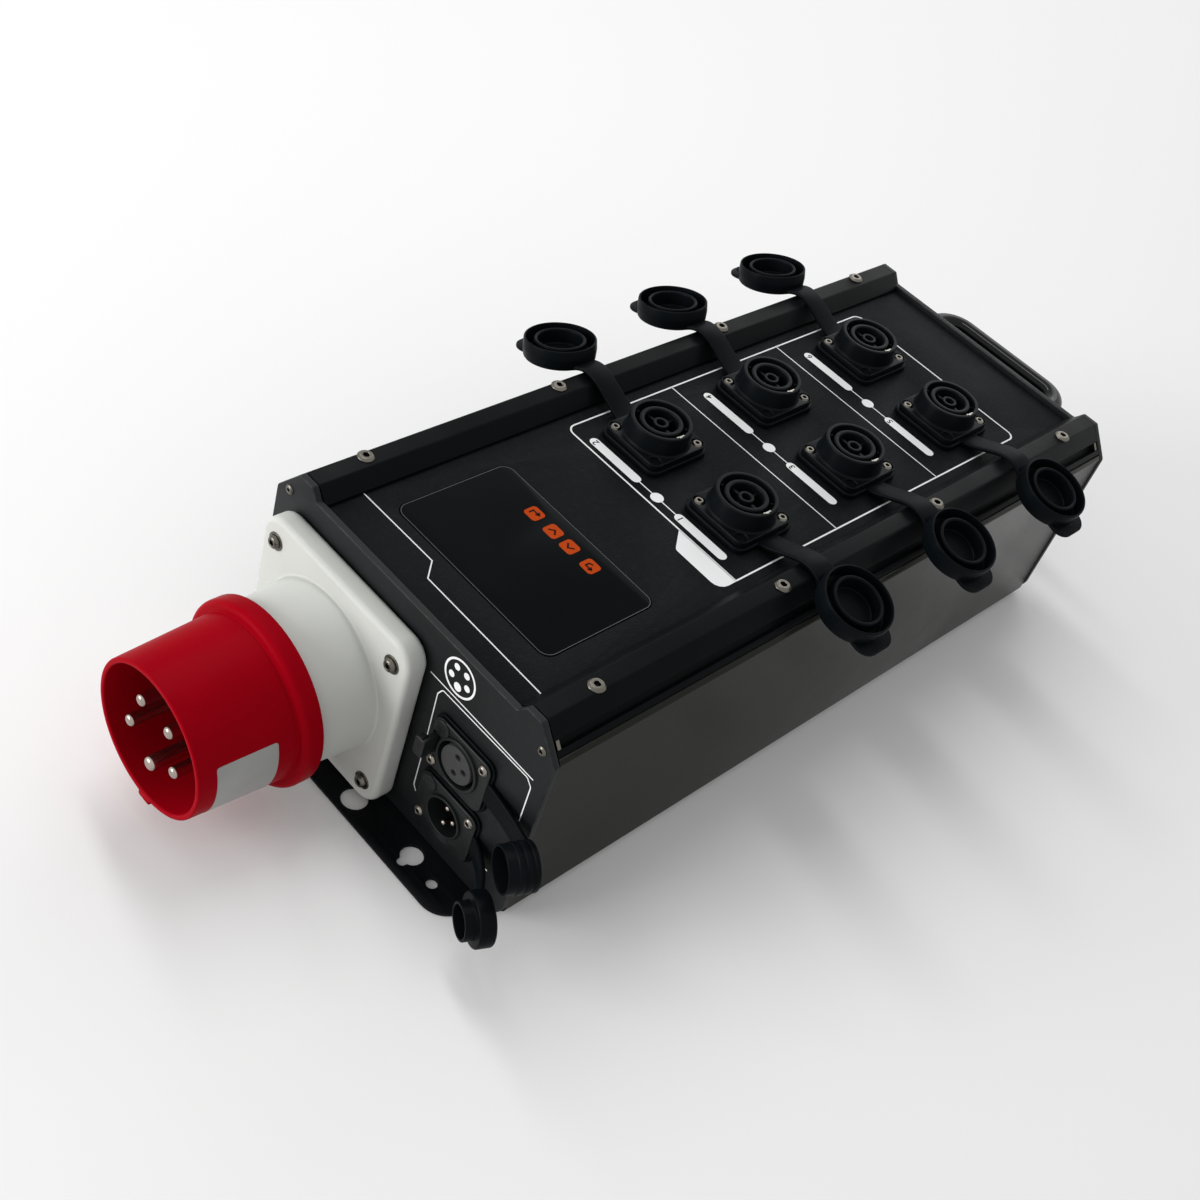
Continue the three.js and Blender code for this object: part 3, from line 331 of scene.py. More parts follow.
# ---- Rails ----------------------------------------------------------------------------
# Two black anodised extrusions hold the panel's long edges. Each has a groove along its
# sloping face with a light plug near each end, and four socket screws on top.
panel = Sizes(width=124, thickness=2, sunk=2.35, corner=0.2, edge=0.15)
ear = Sizes(width=7.8, slope=3.6, notch=4.75, radius=1)
groove = Sizes(from_ear=8.2, width=3.9, depth=2.3, edge=0.3)
plug = Sizes(length=1.6, from_end=0.7, gap=0.2, foot=0.05, face=0.3, edge=0.15)
rail_screw = Sizes(size=(3.5, 1.3), off_middle=1.2, ys=(-153.7, -51.7, 51.7, 153.7))
half_panel = panel.width / 2
notch_z = roof_z - ear.notch
panel_z = notch_z - panel.sunk
ear_inner = ear_outer - ear.width
rail_screw_x = (ear_outer + ear_inner) / 2 + rail_screw.off_middle


def on_shoulder(along, depth):
    """A point of the rail's section, along its slope and into it."""
    x = ear_outer + along * cos(slope) - depth * sin(slope)
    return x, roof_z - along * sin(slope) - depth * cos(slope)


def at(x, y, z=0):
    """A place."""
    return Matrix.Translation((x, y, z))


def turned(corners, steps=72, arc_steps=4):
    """A solid of revolution from a profile of (radius, height) or (radius, height, fillet)
    corners. It ends on the axis, or closes on itself."""
    profile = rounded(corners, arc_steps)
    closed = all(radius > 0 for radius, _ in profile)
    solid = bmesh.new()
    rings = []
    for radius, height in profile:
        if radius < 1e-6:
            rings.append([solid.verts.new((0, 0, height))])
            continue
        angles = [2 * pi * i / steps for i in range(steps)]
        rings.append([solid.verts.new((radius * cos(a), radius * sin(a), height)) for a in angles])
    following = rings[1:] + rings[:1] if closed else rings[1:]
    for lower, upper in zip(rings, following):
        for i in range(steps):
            j = (i + 1) % steps
            corner = [lower[i % len(lower)], lower[j % len(lower)]]
            corner += [upper[j % len(upper)], upper[i % len(upper)]]
            distinct = list(dict.fromkeys(corner))
            if len(distinct) > 2:
                solid.faces.new(distinct)
    return solid


def gathered(*parts):
    """One solid of several, each alone or with its place."""
    whole = bmesh.new()
    for part in parts:
        if isinstance(part, tuple):
            part, place = part
            part.transform(place)
        mesh = bpy.data.meshes.new("part")
        part.to_mesh(mesh)
        part.free()
        whole.from_mesh(mesh)
        bpy.data.meshes.remove(mesh)
    return whole


def socket_screw(radius, height, washer=0.0):
    """A button-head screw with a hexagon socket, standing on a face. It may have a washer."""
    socket, root, socket_floor, washer_height = radius * 0.42, -0.6, -0.4, 0.5
    head = turned([
        (0, root), (radius * 0.9, root), (radius, 0), (radius, height * 0.35, height * 0.3),
        (radius * 0.72, height, height * 0.5), (socket, height, height * 0.12),
        (socket, socket_floor), (0, socket_floor),
    ], 48, 3)
    for corner in head.verts:
        x, y, z = corner.co
        if 0 < hypot(x, y) <= socket * 1.25 and z > 0:
            facet = (atan2(y, x) % (pi / 3)) - pi / 6
            corner.co.x *= cos(pi / 6) / cos(facet)
            corner.co.y *= cos(pi / 6) / cos(facet)
    if not washer:
        return head
    inner = radius * 0.8
    ring = [(inner, 0), (washer, 0), (washer, washer_height, 0.2), (inner, washer_height)]
    return gathered((head, at(0, 0, washer_height)), turned(ring, 48))


def screws(name, size, spots, finish, place=Matrix()):
    """Like screws at several spots of a face."""
    heads = [(socket_screw(*size), at(*spot)) for spot in spots]
    piece(name, gathered(*heads), finish, place=place)


grooved_end = groove.from_ear + groove.width
rail_corners = [
    (half_panel - rail.ledge, rail_bottom_z),
    (shoulder_x(rail_bottom_z), rail_bottom_z, groove.edge),
    (*on_shoulder(grooved_end, 0), groove.edge),
    on_shoulder(grooved_end, groove.depth),
    on_shoulder(groove.from_ear, groove.depth),
    (*on_shoulder(groove.from_ear, 0), groove.edge),
    (ear_outer, roof_z, rail.edge),
    (ear_inner, roof_z, rail.edge),
    (half_panel - rail.lip, panel_z + clearance + rail.lip_height, groove.edge),
    (half_panel - rail.lip, panel_z + clearance),
    (half_panel + clearance, panel_z + clearance),
    (half_panel + clearance, panel_z - panel.thickness - clearance),
    (half_panel - rail.ledge, panel_z - panel.thickness - clearance),
]
channel_low, channel_high = rail_bottom_z + rail.wall, roof_z - rail.wall
channel_inner = half_panel + clearance + rail.wall
channel_side = (groove.depth + rail.wall) / sin(slope)
rail_channel = [
    (channel_inner, channel_low), (shoulder_x(channel_low) - channel_side, channel_low),
    (shoulder_x(channel_high) - channel_side, channel_high), (channel_inner, channel_high),
]
plug_low, plug_high = groove.from_ear + plug.gap, grooved_end - plug.gap
plug_foot = groove.depth - plug.foot
plug_outline = [on_shoulder(plug_low, plug_foot), on_shoulder(plug_high, plug_foot),
                on_shoulder(plug_high, plug.face), on_shoulder(plug_low, plug.face)]
plug_end = shell_length / 2 - plug.from_end
black_anodised = coated("black_anodised", (0.0036, 0.0041, 0.0047), 0.36, mottle=0.1, grain=0.08,
                        grain_size=0.4, wear_and_highlight=0.5, gloss=0.035)
screw_steel = coated("screw_steel", (0.13, 0.122, 0.105), 0.28, metal=1.0, mottle=0.25,
                     spread=0.08)
for side, word in ((1, "right"), (-1, "left")):
    turn = spun(pi) if side < 0 else Matrix()
    section = slab(rounded(rail_corners, 5), [rail_channel], -shell_length / 2, shell_length / 2,
                   rail.end_edge)
    piece(f"{word}_rail_extrusion", section, black_anodised,
          nodes=[f"{word}_rail"], place=turn @ upright)
    spots = [(side * rail_screw_x, y, roof_z) for y in rail_screw.ys]
    screws(f"{word}_rail_screws", rail_screw.size, spots, screw_steel)
    plugs = []
    for end in (-1, 1):
        body = slab(plug_outline, [], plug_end - plug.length, plug_end, plug.edge)
        plugs.append((body, turn @ Matrix.Scale(end, 4, (0, 1, 0)) @ upright))
    piece(f"{word}_rail_plugs", gathered(*plugs), screw_steel)

# ---- End plates -----------------------------------------------------------------------
# Two cast plates close the box. Their ears stand over the rails, and screws near the ears
# and the bottom corners hold them. The front one has the holes of the three connectors.
inlet = Sizes(x=-28.6, z=46.9, spigot=29.5)
female = Sizes(x=42.3, z=56.1)
male = Sizes(x=43.6, z=26.4)
socket_barrel = 11.7
end_screw = Sizes(size=(2.1, 0.8), spots=((73, 95.1), (75.2, 6.2)))
plate_edge = 0.5
ear_corners = both_sides([
    (half_width, bottom_z, housing.corner),
    (half_width, roof_z - shoulder.height, shoulder.radius),
    (ear_outer, roof_z, ear.radius),
    (ear_inner, roof_z, ear.radius),
    (ear_inner - ear.slope, notch_z, ear.radius),
])
end_outline = rounded(ear_corners, 8)
front_holes = [hole(inlet.x, inlet.z, inlet.spigot + clearance, 96)]
front_holes += [hole(s.x, s.z, socket_barrel + clearance, 48) for s in (female, male)]
outwards = at(0, -half_length) @ upright
rearwards = at(0, half_length) @ spun(pi) @ upright
# The lighter edges of this coat are partly wear and partly a painted highlight along the plates'
# bevelled edges.
plate_grey = coated("dark_grey_coat", (0.0065, 0.0074, 0.0082), 0.5, mottle=0.1, grain=0.25,
                    wear_and_highlight=1.0, dust=0.05, gloss=0.18)
for word, place, holes in (("front", outwards, front_holes), ("rear", rearwards, [])):
    plate = slab(end_outline, holes, -housing.plate, 0, plate_edge, 3)
    piece(f"{word}_plate_casting", plate, plate_grey,
          nodes=[f"{word}_end_plate"], place=place)
    spots = [(side * x, z) for x, z in end_screw.spots for side in (-1, 1)]
    screws(f"{word}_plate_screws", end_screw.size, spots, screw_steel, place)

# ---- Top panel ------------------------------------------------------------------------
# A sheet with a fine leather-like coat, held by the rails. The outlets and the display
# go through it.
display = Sizes(width=88, length=57.1, front_gap=26.8, corner=5)
display_y = display.front_gap + display.length / 2 - half_length
outlet_xs = (-25.3, 25.3)
outlet_ys = (-31.5, 40.4, 112.3)
outlet_barrel = 12.4
panel_holes = [hole(x, y, outlet_barrel + clearance) for x in outlet_xs for y in outlet_ys]
panel_holes.append(box_outline(0, display_y, display.width + 2 * clearance,
                               display.length + 2 * clearance, display.corner))
panel_coat = coated("panel_coat", (0.0042, 0.0052, 0.006), 0.5, mottle=0.2, grain=0.8,
                    grain_size=0.9, wear_and_highlight=0.3, dust=0.08, gloss=0.04)
panel_outline = box_outline(0, 0, panel.width, shell_length, panel.corner, 1)
panel_sheet = slab(panel_outline, panel_holes, panel_z - panel.thickness, panel_z, panel.edge)
piece("panel_sheet", panel_sheet, panel_coat, nodes=["top_panel"])

# ---- Print ----------------------------------------------------------------------------
# White screen print on the panel and the front plate: frames round the outlets, plates
# with plain numbers, and lines.
ink = Sizes(foot=-0.02, height=0.06, line=0.75, thin=0.5)
print_frame = Sizes(left=-50.3, right=51.3, front=-60, rear=140.5, corner=4.5, tight_corner=0.8,
                    dividers=(4.6, 76.8), divider_inset=0.4)
pill = Sizes(spans=((-40, -10.3), (11.4, 40.1)), width=4.6, dot_x=0.2, dot=2.9,
             number_xs=(-37.2, 14.2))
row_ys = (-54.5, 16.5, 87.5)
number = Sizes(size=4.6, extrude=0.03, bolder=0.05, weld=0.001)
layout = Sizes(x=30.3, z=90.1, radius=8.3, line=0.9, circle=4.5, dot=1.45, earth=1.9)
print_white = coated("print_white", (0.8, 0.81, 0.81), 0.5, mottle=0.03)
print_black = coated("print_black", (0.01, 0.01, 0.011), 0.5, mottle=0.05, gloss=0.05)


def stroke(points, width):
    """A printed line along points, with square ends."""
    spans = [Vector((b[0] - a[0], b[1] - a[1])).normalized() for a, b in zip(points, points[1:])]
    right, left = [], []
    for (x, y), before, after in zip(points, spans[:1] + spans, spans + spans[-1:]):
        across = Vector((-before.y - after.y, before.x + after.x))
        shift = across * (width / 2 / max(0.4, 1 + before.dot(after)))
        right.append((x - shift.x, y - shift.y))
        left.append((x + shift.x, y + shift.y))
    return [right + left[::-1]]


def thin_lines(*lines):
    """Printed thin lines, each along its points."""
    return [stroke(line, ink.thin) for line in lines]


def printed(shapes):
    """Thin solids of ink, each from an outline and its holes."""
    return gathered(*(slab(outer, holes, ink.foot, ink.height) for outer, *holes in shapes))


def pin_circle(radius):
    """The five places of the inlet's pins on a circle, the earth's first and lowest."""
    angles = [2 * pi * i / 5 - pi / 2 for i in range(5)]
    return [(radius * cos(a), radius * sin(a)) for a in angles]


def numeral(text, x, y):
    """A plain printed number as a thin solid, read from the rear."""
    letter = bpy.data.curves.new("number", "FONT")
    letter.body = text
    letter.size = number.size
    letter.align_x, letter.align_y = "CENTER", "CENTER"
    letter.resolution_u = 3
    letter.extrude = number.extrude
    letter.offset = number.bolder
    drawn = bpy.data.objects.new("number", letter)
    mesh = bpy.data.meshes.new_from_object(drawn)
    solid = bmesh.new()
    solid.from_mesh(mesh)
    bmesh.ops.remove_doubles(solid, verts=solid.verts, dist=number.weld)
    bpy.data.objects.remove(drawn)
    bpy.data.curves.remove(letter)
    bpy.data.meshes.remove(mesh)
    return solid, at(x, y, ink.height) @ spun(pi)


left, right, front, rear = print_frame.left, print_frame.right, print_frame.front, print_frame.rear
outer_frame = rounded([
    (left, front, print_frame.corner), (right, front, print_frame.tight_corner),
    (right, rear, print_frame.corner), (left, rear, print_frame.corner),
])
shapes = [[outer_frame, inset(outer_frame, ink.line)]]
divider_ends = left + print_frame.divider_inset, right - print_frame.divider_inset
shapes += thin_lines(*([(x, y) for x in divider_ends] for y in print_frame.dividers))
tab = [(18.4, -59.7), (26, -69.4, 2.5), (right - 0.05, -69.6, 5), (right - 0.05, -59.7)]
shapes.append([rounded(tab, 4)])
numbers = []
for row, y in enumerate(row_ys):
    for low, high in pill.spans:
        round_end = pill.width / 2 - 0.01
        middle = (low + high) / 2
        shapes.append([box_outline(middle, y, high - low, pill.width, round_end, 8)])
    shapes.append([hole(pill.dot_x, y, pill.dot, 32)])
    shapes += thin_lines([(pill.spans[0][1], y), (pill.dot_x - pill.dot, y)],
                         [(pill.dot_x + pill.dot, y), (pill.spans[1][0], y)])
    numbers += [numeral(str(2 * row + 2 - i), x, y) for i, x in enumerate(pill.number_xs)]
inlet_side_line = [(-58.6, -161.2), (-14.9, -160.7), (-8.5, -167.9), (56.3, -168.1)]
shapes += thin_lines(inlet_side_line)
on_panel = at(0, 0, panel_z)
piece("panel_print", printed(shapes), print_white, place=on_panel)
piece("panel_numbers", gathered(*numbers), print_black, place=on_panel)

front_frame = [
    (25.4, 20.2), (23.6, 22.4), (23.2, 51.2), (22.5, 74.3), (24.4, 77.9), (71.1, 78.6),
    (73.8, 75.9), (74.1, 57),
]
frame_bend = 1.5
bends = [(x, z, frame_bend) for x, z in front_frame[1:-1]]
bent_frame = rounded([front_frame[0], *bends, front_frame[-1]])
top_line, foot_line = [(16.6, 80.3), (73.7, 79.9)], [(62.7, 19.5), (68.5, 19.6)]
front_shapes = thin_lines(top_line, bent_frame, foot_line)
rings = [hole(layout.x, layout.z, radius, 56)
         for radius in (layout.radius, layout.radius - layout.line)]
front_shapes.append(rings)
for i, (x, z) in enumerate(pin_circle(layout.circle)):
    radius = layout.dot if i else layout.earth
    front_shapes.append([hole(layout.x + x, layout.z + z, radius, 24)])
piece("front_print", printed(front_shapes), print_white, place=outwards)

# ---- Display window -------------------------------------------------------------------
# A polished black acrylic window with a thin dark grey rim. Four orange touch keys glow
# through it, each with a dark sign.
window = Sizes(proud=0.2, edge=0.2, rim_outer=0.3, rim_inner=0.9, rim_foot=0.05, rim_height=0.03)
key = Sizes(width=7, length=6.8, corner=1.6, xs=(-16.2, -5, 4.6, 16.5), y=-108, foot=-0.02,
            height=0.04, sign=0.8, sign_height=0.07)
window_black = coated("window_black", (0.0034, 0.0042, 0.005), 0.12, mottle=0.1, spread=0.02,
                      gloss=0.02)
rim_grey = coated("window_rim", (0.045, 0.05, 0.054), 0.3, mottle=0.05, gloss=0.3)
key_orange = coated("key_orange", (0.34, 0.035, 0.002), 0.4, mottle=0.06, gloss=0.03)
sign_brown = coated("sign_brown", (0.03, 0.006, 0.003), 0.5, mottle=0.05, gloss=0.03)
window_z = panel_z + window.proud


def window_outline(smaller):
    """The window's outline, or a smaller one inside it."""
    return box_outline(0, display_y, display.width - smaller, display.length - smaller,
                       display.corner - smaller / 2, 10)


window_sheet = slab(window_outline(0), [], panel_z - panel.thickness, window_z, window.edge, 3)
piece("window_acrylic", window_sheet, window_black, nodes=["display_window"])
rim = slab(window_outline(window.rim_outer), [window_outline(window.rim_inner)],
           window_z - window.rim_foot, window_z + window.rim_height)
piece("window_rim", rim, rim_grey)

on_window = at(0, 0, window_z)
key_outlines = [box_outline(x, key.y, key.width, key.length, key.corner) for x in key.xs]
key_solids = [slab(outline, [], key.foot, key.height) for outline in key_outlines]
piece("touch_keys", gathered(*key_solids), key_orange, place=on_window)
glow = key_orange.node_tree.nodes["Principled BSDF"]
glow.inputs["Emission Color"].default_value = (1, 0.16, 0.015, 1)
glow.inputs["Emission Strength"].default_value = 0.1
enter_sign = [[(1.7, 1.4), (1.7, -0.9), (-1.6, -0.9)], [(-0.5, -1.9), (-1.9, -0.9), (-0.5, 0.1)]]
up_sign = [[(-1.9, 1), (0, -1), (1.9, 1)]]
down_sign = [[(-1.9, -1), (0, 1), (1.9, -1)]]
back_sign = [[(-1.6, 1.1), (1.4, 1.1), (1.4, -0.8), (-0.2, -1.5)],
             [(-0.6, 2.1), (-1.8, 1.1), (-0.6, 0.1)]]
signs = []
for x, lines in zip(key.xs, (enter_sign, up_sign, down_sign, back_sign)):
    for line in lines:
        moved = [(x - u, key.y - v) for u, v in line]
        signs.append(slab(stroke(moved, key.sign)[0], [], 0, key.sign_height))
piece("touch_key_signs", gathered(*signs), sign_brown, place=on_window)

# ---- Outlets --------------------------------------------------------------------------
# Six round locking outlets, moulded in black plastic. Each has a square flange with two
# screws in recesses, a tall boss with a keyed groove, an inner ring and a hollow pillar,
# and a sprung metal catch on the rim.
outlet = Sizes(
    width=31.2, length=33, height=2.5, corner=4, edge=0.4, depth=24, boss=14.4, taper=1,
    boss_height=8.2, groove=11.7, groove_depth=8, ring=9.6, ring_wall=2.3, ring_sunk=0.6,
    foot_width=0.9, foot_height=0.7, pillar=3.4, pillar_sunk=1.6, bore=2, bore_floor=1,
    blade=1.4, blade_sunk=3, blade_overlap=0.6, rib=1.6, rib_sunk=2.2, rib_inset=0.4,
    ribs=((pi / 2, 2.4), (-pi / 2, 2.4), (pi / 4, 1.1), (1.1 * pi, 1.1)),
)
outlet_screw = Sizes(x=12.1, y=13, recess=2.75, sunk=0.9, size=(2.4, 1.1))
catch = Sizes(start=radians(-14), end=radians(6), inner=-0.06, outer=0.7, low=-2.5, high=0.2,
              lip_out=0.55, lip_y=-1.1, lip_width=1.2, lip_length=1.1, lip_low=-1.5, lip_high=0.35)
gasket = Sizes(width=33.4, length=35.2, thickness=2.2, corner=4.6)
gasket_top = clearance + gasket.thickness
flange_low = gasket_top + clearance
flange_top = flange_low + outlet.height
boss_top = flange_top + outlet.boss_height
recess_floor = flange_top - outlet_screw.sunk
moulded_black = coated("moulded_black", (0.0036, 0.0048, 0.006), 0.34, grain=0.1,
                       grain_size=0.35, wear_and_highlight=0.35, gloss=0.055)
bright_steel = coated("bright_steel", (0.3, 0.29, 0.27), 0.28, metal=1.0)


def outlet_solid():
    """The outlet's moulding, above and below the panel."""
    floor = boss_top - outlet.groove_depth
    ring_top = boss_top - outlet.ring_sunk
    ring_inner = outlet.ring - outlet.ring_wall
    pillar_top = boss_top - outlet.pillar_sunk
    boss = turned([
        (0, -outlet.depth), (outlet_barrel, -outlet.depth, 0.8),
        (outlet_barrel, flange_low), (outlet.boss, flange_low),
        (outlet.boss + outlet.foot_width, flange_top - 0.2),
        (outlet.boss + 0.1, flange_top + outlet.foot_height, 1),
        (outlet.boss - outlet.taper, boss_top, 0.6), (outlet.groove, boss_top, 0.3),
        (outlet.groove, floor), (outlet.ring, floor),
        (outlet.ring, ring_top, 0.7), (ring_inner, ring_top, 0.7),
        (ring_inner, floor), (outlet.pillar, floor),
        (outlet.pillar, pillar_top, 0.3), (outlet.bore, pillar_top, 0.3),
        (outlet.bore, floor + outlet.bore_floor), (0, floor + outlet.bore_floor),
    ])
    recesses = [hole(across * outlet_screw.x, along * outlet_screw.y, outlet_screw.recess, 28)
                for across in (-1, 1) for along in (-1, 1)]
    middle = hole(0, 0, (outlet.boss + outlet.groove) / 2, 72)
    footprint = box_outline(0, 0, outlet.width, outlet.length, outlet.corner, 8)
    upper = slab(footprint, [middle, *recesses], flange_low, flange_top, outlet.edge, 4)
    lower = inset(wound(footprint, True), outlet.edge)
    parts = [boss, upper, slab(lower, [middle], flange_low + 0.05, recess_floor)]
    for angle, width in outlet.ribs:
        rib = box_outline(outlet.groove - outlet.rib_inset, 0, outlet.rib, width, 0.3, 2)
        parts.append((slab(rib, [], floor, boss_top - outlet.rib_sunk, 0.2), spun(angle)))
    reach = (outlet.pillar + ring_inner) / 2
    blade_length = ring_inner - outlet.pillar + outlet.blade_overlap
    blade = box_outline(reach, 0, blade_length, outlet.blade, 0.2, 2)
    for quarter in range(4):
        solid = slab(blade, [], floor, boss_top - outlet.blade_sunk, 0.2)
        parts.append((solid, spun(quarter * pi / 2)))
    return gathered(*parts)


def catch_solid():
    """The metal catch: a bent strip along the groove's outer wall with a raised lip."""
    strip = arc_points(0, 0, outlet.groove + catch.outer, catch.start, catch.end, 10)
    strip += arc_points(0, 0, outlet.groove + catch.inner, catch.end, catch.start, 10)
    lip = box_outline(outlet.groove + catch.lip_out, catch.lip_y, catch.lip_width,
                      catch.lip_length, 0.3, 3)
    return gathered(slab(strip, [], boss_top + catch.low, boss_top + catch.high, 0.12),
                    slab(lip, [], boss_top + catch.lip_low, boss_top + catch.lip_high, 0.15))


outlet_places = {}
for column, x in zip(("left", "right"), outlet_xs):
    for row, y in enumerate(outlet_ys, 1):
        place = outlet_places[f"{column}_{row}"] = at(x, y, panel_z)
        name = f"outlet_{column}_{row}"
        piece(f"{name}_moulding", outlet_solid(), moulded_black, nodes=[name],
              place=place)
        piece(f"{name}_catch", catch_solid(), bright_steel, place=place)
        spots = [(s * outlet_screw.x, s * outlet_screw.y, recess_floor) for s in (-1, 1)]
        screws(f"{name}_screws", outlet_screw.size, spots, screw_steel, place)

# ---- Outlet seals and caps ------------------------------------------------------------
# One rubber moulding for each outlet: a seal under its flange, a flat strap over the rail,
# and a round cap with an inner ring and a ribbed pull tab. The caps stand open.
cap = Sizes(
    radius=16.2, height=9, skirt=1.2, floor=1.6, ring=11.5, ring_wall=1.7, ring_sunk=0.6,
    tab_reach=4.4, tab_width=21, tab_corner=7, ribs=3, first_rib=1.1, rib=0.55, rib_length=11,
    rib_pitch=1.15, rib_shorter=2.4, rib_foot=0.1, rib_height=0.3, engaged=2.5, rest_x=89,
    above_roof=3.7, tilt=radians(15),
)
strap = Sizes(width=12, thickness=2, bends=((0.4, 0.3), (0.69, 2.75)), waist=0.12, overlap=2,
              half_bend=16, steps=48)
rubber = coated("black_rubber", (0.003, 0.0042, 0.0054), 0.38, mottle=0.15, grain=0.1,
                wear_and_highlight=0.25, gloss=0.035)


def rest_place(rim, tilt):
    """Where a cap rests, from its rim's centre and its tilt in the side view."""
    return at(rim[0], 0, rim[1]) @ spun(tilt, "Y")


def rest_point(rim, tilt, side, out):
    """A point of the side view that is given on the cap."""
    x = rim[0] + side * cos(tilt) + out * sin(tilt)
    return x, rim[1] - side * sin(tilt) + out * cos(tilt)


def bezier(points, share):
    """A point and a direction on the curve through four control points."""
    a, b, c, d = (Vector(point) for point in points)
    rest = 1 - share
    here = a * rest**3 + b * 3 * share * rest**2 + c * 3 * share**2 * rest + d * share**3
    along = (b - a) * 3 * rest**2 + (c - b) * 6 * rest * share + (d - c) * 3 * share**2
    return here, along.normalized()


def skinned(rings):
    """A solid along like rings of points, closed at both ends."""
    solid = bmesh.new()
    rows = [[solid.verts.new(point) for point in ring] for ring in rings]
    for before, after in zip(rows, rows[1:]):
        for i in range(len(before)):
            j = (i + 1) % len(before)
            solid.faces.new((before[i], before[j], after[j], after[i]))
    solid.faces.new(rows[0])
    solid.faces.new(rows[-1])
    return solid


def strap_solid(start, end, sizes):
    """A strap along a smooth route in the side view, with rounded edges and a waist."""
    span = Vector(end) - Vector(start)
    bends = [(start[0] + span.x * u, start[1] + span.y * v) for u, v in sizes.bends]
    section = box_outline(0, 0, sizes.width, sizes.thickness, sizes.thickness * 0.42, 4)
    rings = []
    for i in range(sizes.steps + 1):
        here, along = bezier([start, *bends, end], i / sizes.steps)
        narrow = 1 - sizes.waist * sin(pi * i / sizes.steps)
        rings.append([(here.x - along.y * v, u * narrow, here.y + along.x * v)
                      for u, v in section])
    return skinned(rings)


def tether(name, band, place):
    """A rubber strap on no body, made where it lies, with its place baked into its mesh."""
    made = piece(name, band, rubber, body=None, place=place)
    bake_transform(made)


def seal_solid(width, height, corner, bore, low, high):
    """A flat seal with a round hole."""
    outline = box_outline(0, 0, width, height, corner, 8)
    return slab(outline, [hole(0, 0, bore, 60)], low, high, 0.5, 3)


def outlet_cap_solid():
    """The cap, standing on its closed end with its rim at height 0."""
    floor_top = cap.floor - cap.height
    ring_inner = cap.ring - cap.ring_wall
    skirt_inner = cap.radius - cap.skirt
    cup = turned([
        (0, -cap.height), (cap.radius - 0.4, -cap.height, 1.4),
        (cap.radius, -cap.height * 0.45, 3), (cap.radius - 0.35, 0, 0.6),
        (skirt_inner, 0, 0.4), (skirt_inner, floor_top, 0.8),
        (cap.ring, floor_top, 0.5), (cap.ring, -cap.ring_sunk, 0.8),
        (ring_inner, -cap.ring_sunk, 0.8), (ring_inner, floor_top, 0.8),
        (0, floor_top),
    ], 84)
    tip, half, bend = cap.radius + cap.tab_reach, cap.tab_width / 2, cap.tab_corner
    tongue = rounded([(cap.ring, -half), (tip, -half, bend), (tip, half, bend), (cap.ring, half)],
                     10)
    parts = [cup, slab(tongue, [], -cap.height, floor_top, 0.6, 3)]
    for step in range(cap.ribs):
        x = cap.radius + cap.first_rib + step * cap.rib_pitch
        length = cap.rib_length - cap.rib_shorter * step
        rib = box_outline(x, 0, cap.rib, length, cap.rib / 2 - 0.005, 3)
        parts.append(slab(rib, [], floor_top - cap.rib_foot, floor_top + cap.rib_height, 0.12))
    return gathered(*parts)


cap_rim = (cap.rest_x - outlet_xs[1], roof_z + cap.above_roof - panel_z)
strap_start = (gasket.width / 2 - strap.overlap, gasket_top - strap.thickness / 2)
strap_end = rest_point(cap_rim, cap.tilt, 2 * cap.skirt - cap.radius,
                       strap.thickness / 2 - cap.height)
for where, place in outlet_places.items():
    column, row = where.split("_")
    facing = place @ spun(pi if column == "left" else 0)
    cap_body = f"{column}_cap_{row}"
    seal = seal_solid(gasket.width, gasket.length, gasket.corner, outlet_barrel + clearance,
                      clearance, gasket_top)
    piece(f"outlet_seal_{where}", seal, rubber, nodes=[f"outlet_gasket_{where}"],
          place=facing)
    piece(f"outlet_lid_{where}", outlet_cap_solid(), rubber, cap_body,
          [f"outlet_cap_{where}"], facing @ rest_place(cap_rim, cap.tilt))
    band = strap_solid(strap_start, strap_end, strap)
    tether(f"outlet_strap_{where}", band, facing)

# ---- Mains inlet ----------------------------------------------------------------------
# A square grey-white flange with a round neck, screwed to the front plate. The red shroud
# with its collar and key is fixed on the neck and surrounds five nickel pins.
flange = Sizes(width=88, depth=10, corner=10, edge=2.5, neck=35, neck_tip=33.2, fillet=1,
               neck_length=25.2, foot_margin=2, bore=26, spigot_depth=6)
flange_screw = Sizes(x=35.5, z=33.5, size=(3, 1.8, 3.9))
shroud = Sizes(
    collar=37.5, collar_length=9, collar_edge=2.8, root=33.3, rim=31.2, length=49, wall=2.3,
    rim_edge=0.8, seat_depth=5.7, seat=26.3, key_width=7, key_height=3.6, key_length=16,
    key_root=1.15, key_edge=0.9,
)
carrier = Sizes(thickness=4.7, plug_radius=25.6, plug_length=18)
pin = Sizes(circle=14.6, radius=2.5, earth=3, sunk=0.8, length=62)
label = Sizes(low=17, high=41.5, start=radians(-38), end=radians(20.5), height=0.12, corner=1.2,
              foot=-0.05)
inlet_place = outwards @ at(inlet.x, inlet.z)
flange_front = clearance + flange.depth
neck_end = flange_front + flange.neck_length
white_moulding = coated("grey_white_moulding", (0.54, 0.55, 0.52), 0.4, mottle=0.02, grain=0.04,
                        grain_size=0.9, gloss=0.15)
red_moulding = coated("red_moulding", (0.28, 0.0006, 0.006), 0.36, mottle=0.04, grain=0.02,
                      grain_size=1.2, spread=0.04, gloss=0.012)
pin_nickel = coated("nickel_plate", (0.38, 0.33, 0.29), 0.2, metal=1.0)
label_white = coated("bare_label", (0.33, 0.33, 0.32), 0.4, mottle=0.08, gloss=0.15)

